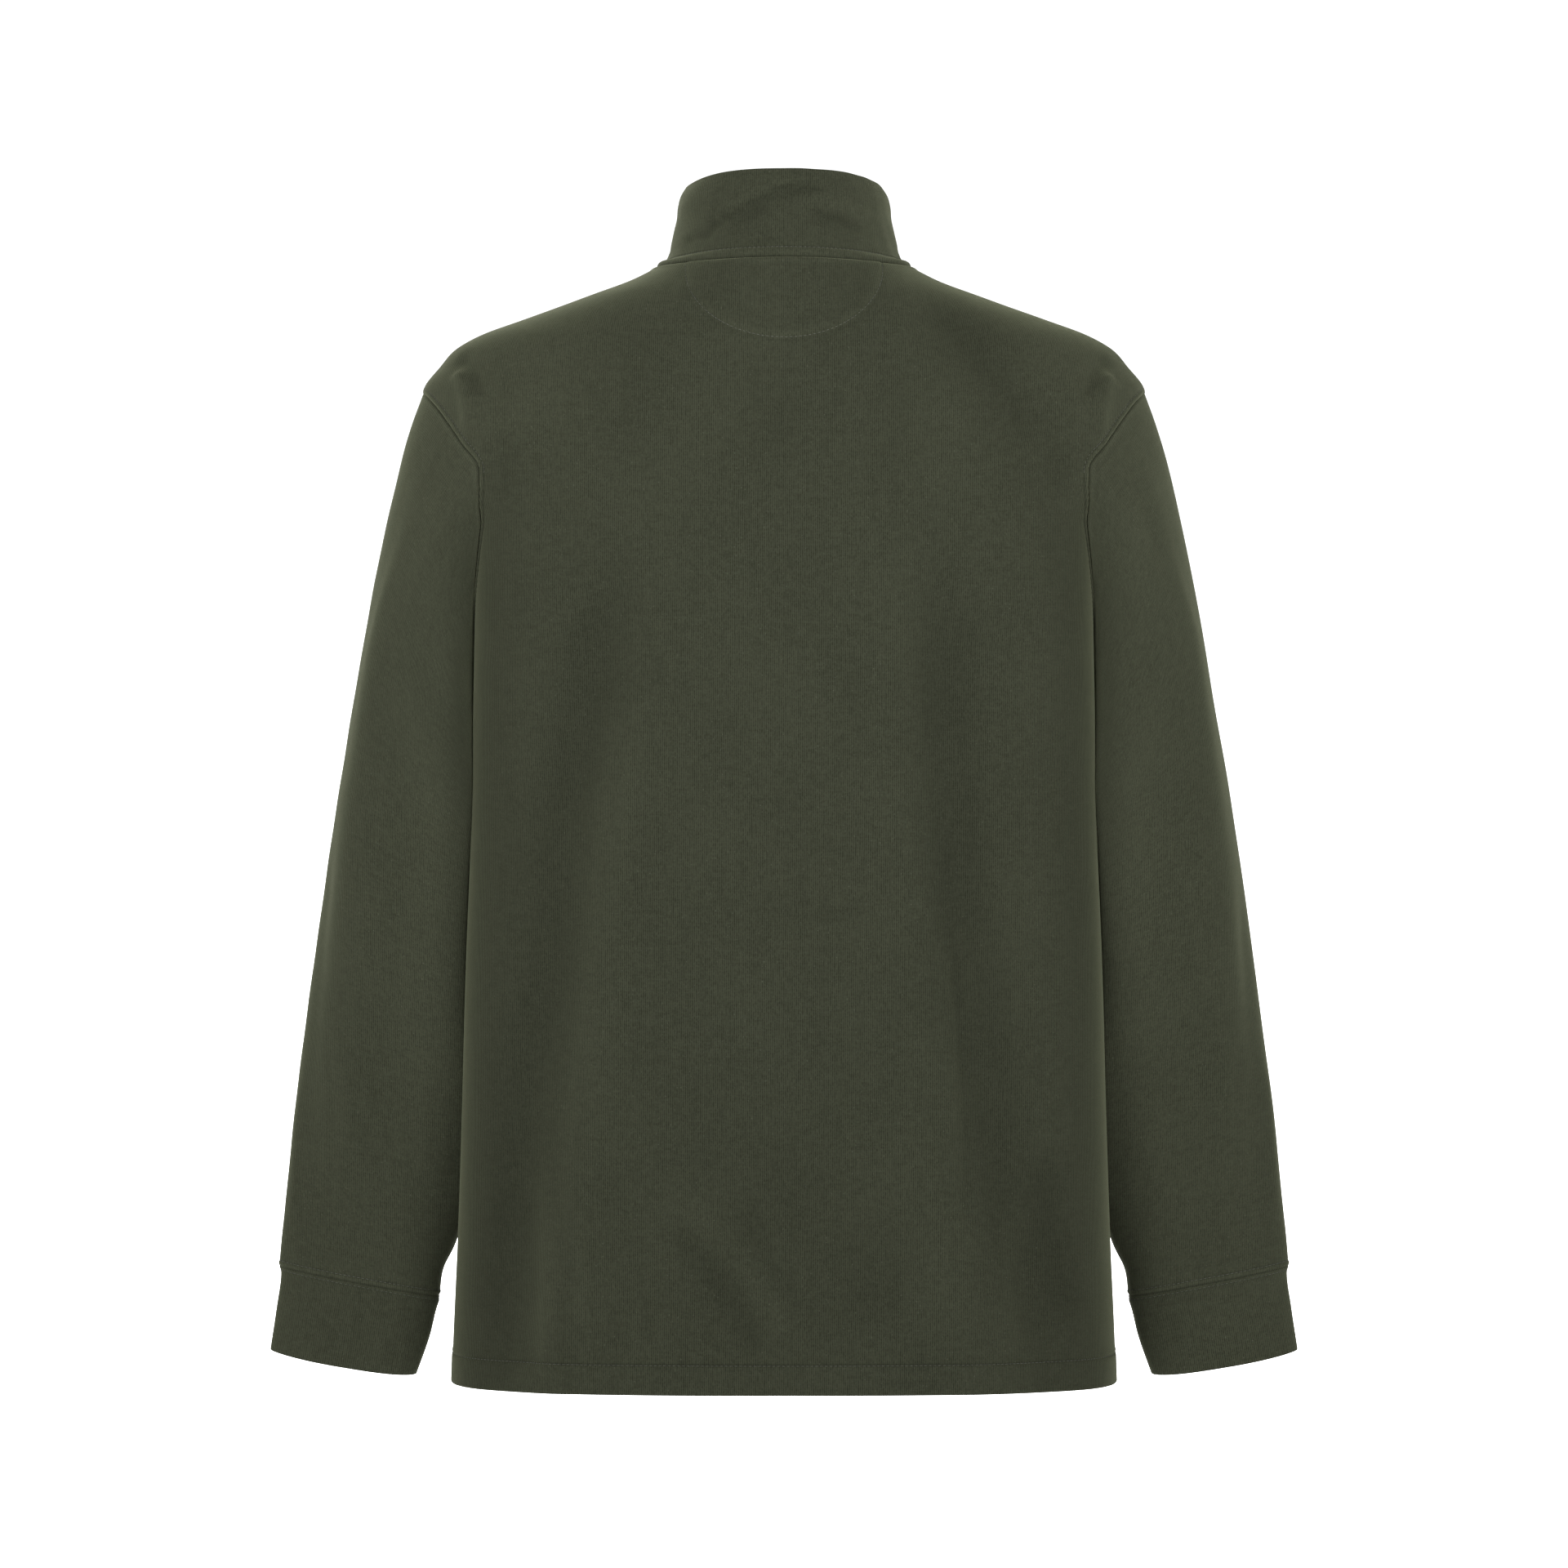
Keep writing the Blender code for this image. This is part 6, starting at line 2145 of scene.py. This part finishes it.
@dataclass(frozen=True)
class Studio:
    """The floor, the light and the camera."""

    camera_place: tuple[float, float, float] = (0.0, 3.6, -0.337)
    seen_width: float = 1.027
    sensor: float = 36.0
    floor_level: float = -1.60
    floor_size: float = 9.0
    aim: tuple[float, float, float] = (0.0, 0.0, -0.34)
    wall: float = 1.05
    wall_edges: tuple[float, float] = (-0.92, -0.75)
    glow: float = 3.3
    glow_edges: tuple[float, float] = (-0.30, 0.10)
    room: float = 0.09
    softboxes: tuple[Softbox, ...] = (
        Softbox("key", (1.54, 3.16, 0.41), 1.4, 48.0),
        Softbox("fill", (-1.43, 3.22, 0.41), 1.4, 35.0),
        Softbox("top", (-0.76, 2.08, 2.5), 1.4, 17.0),
        Softbox("front", (0.9, -3.2, 0.9), 1.6, 34.0),
    )

    def build(self) -> None:
        """Builds the studio."""
        self._camera()
        for softbox in self.softboxes:
            self._light(softbox)
        bpy.context.scene.view_settings.view_transform = "Standard"
        self._surround()
        self._floor()

    def _surround(self) -> None:
        """Surrounds the shirt with a dim room that glows low down all round and has one white
        wall beyond the shirt's front."""
        nodes = Nodes(bpy.data.worlds.new("studio_room"))
        _, y, z = nodes.split(nodes.add("ShaderNodeTexCoord").outputs["Generated"])
        light = self.room
        for way, edges, bright in ((y, self.wall_edges, self.wall), (z, self.glow_edges, self.glow)):
            light = nodes.plus(nodes.between(way, *edges, bright, 0.0), light)
        bpy.context.scene.world = nodes.finished({"Color": (1, 1, 1, 1), "Strength": light})

    def _camera(self) -> None:
        """Sets the camera straight behind the shirt."""
        camera = bpy.data.objects.new("camera", bpy.data.cameras.new("camera"))
        bpy.context.scene.collection.objects.link(camera)
        camera.location = self.camera_place
        camera.rotation_euler = (math.pi / 2, 0, math.pi)
        camera.data.sensor_width = self.sensor
        camera.data.lens = self.sensor * self.camera_place[1] / self.seen_width
        bpy.context.scene.camera = camera

    def _light(self, softbox: Softbox) -> None:
        """Adds a soft light.

        Args:
            softbox: The light.
        """
        data = bpy.data.lights.new(softbox.name, "AREA")
        data.shape, data.size, data.energy = "DISK", softbox.size, softbox.power
        light = bpy.data.objects.new(softbox.name, data)
        bpy.context.scene.collection.objects.link(light)
        light.location = softbox.place
        towards = Vector(self.aim) - Vector(softbox.place)
        light.rotation_euler = towards.to_track_quat("-Z", "Y").to_euler()

    def _floor(self) -> None:
        """Lays the pale floor, well below the shirt."""
        deselect_all()
        bpy.ops.mesh.primitive_plane_add(size=self.floor_size, location=(0, 0, self.floor_level))
        floor = bpy.context.object
        floor.name = "floor"
        floor.data.materials.append(StudioPaper().material())


def main() -> None:
    """Builds the shirt's looks and the studio."""
    logging.basicConfig(level=logging.INFO, format="%(message)s")
    for old in list(bpy.data.objects):
        bpy.data.objects.remove(old)
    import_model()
    finishes = Finishes()
    cloth = ShirtCloth()
    cloth.build()
    cloth.dress(finishes)
    cloth.stitch(finishes)
    Buttons().build(cloth.pieces["placket_top"], finishes)
    Studio().build()
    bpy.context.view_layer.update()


if __name__ == "__main__":
    main()
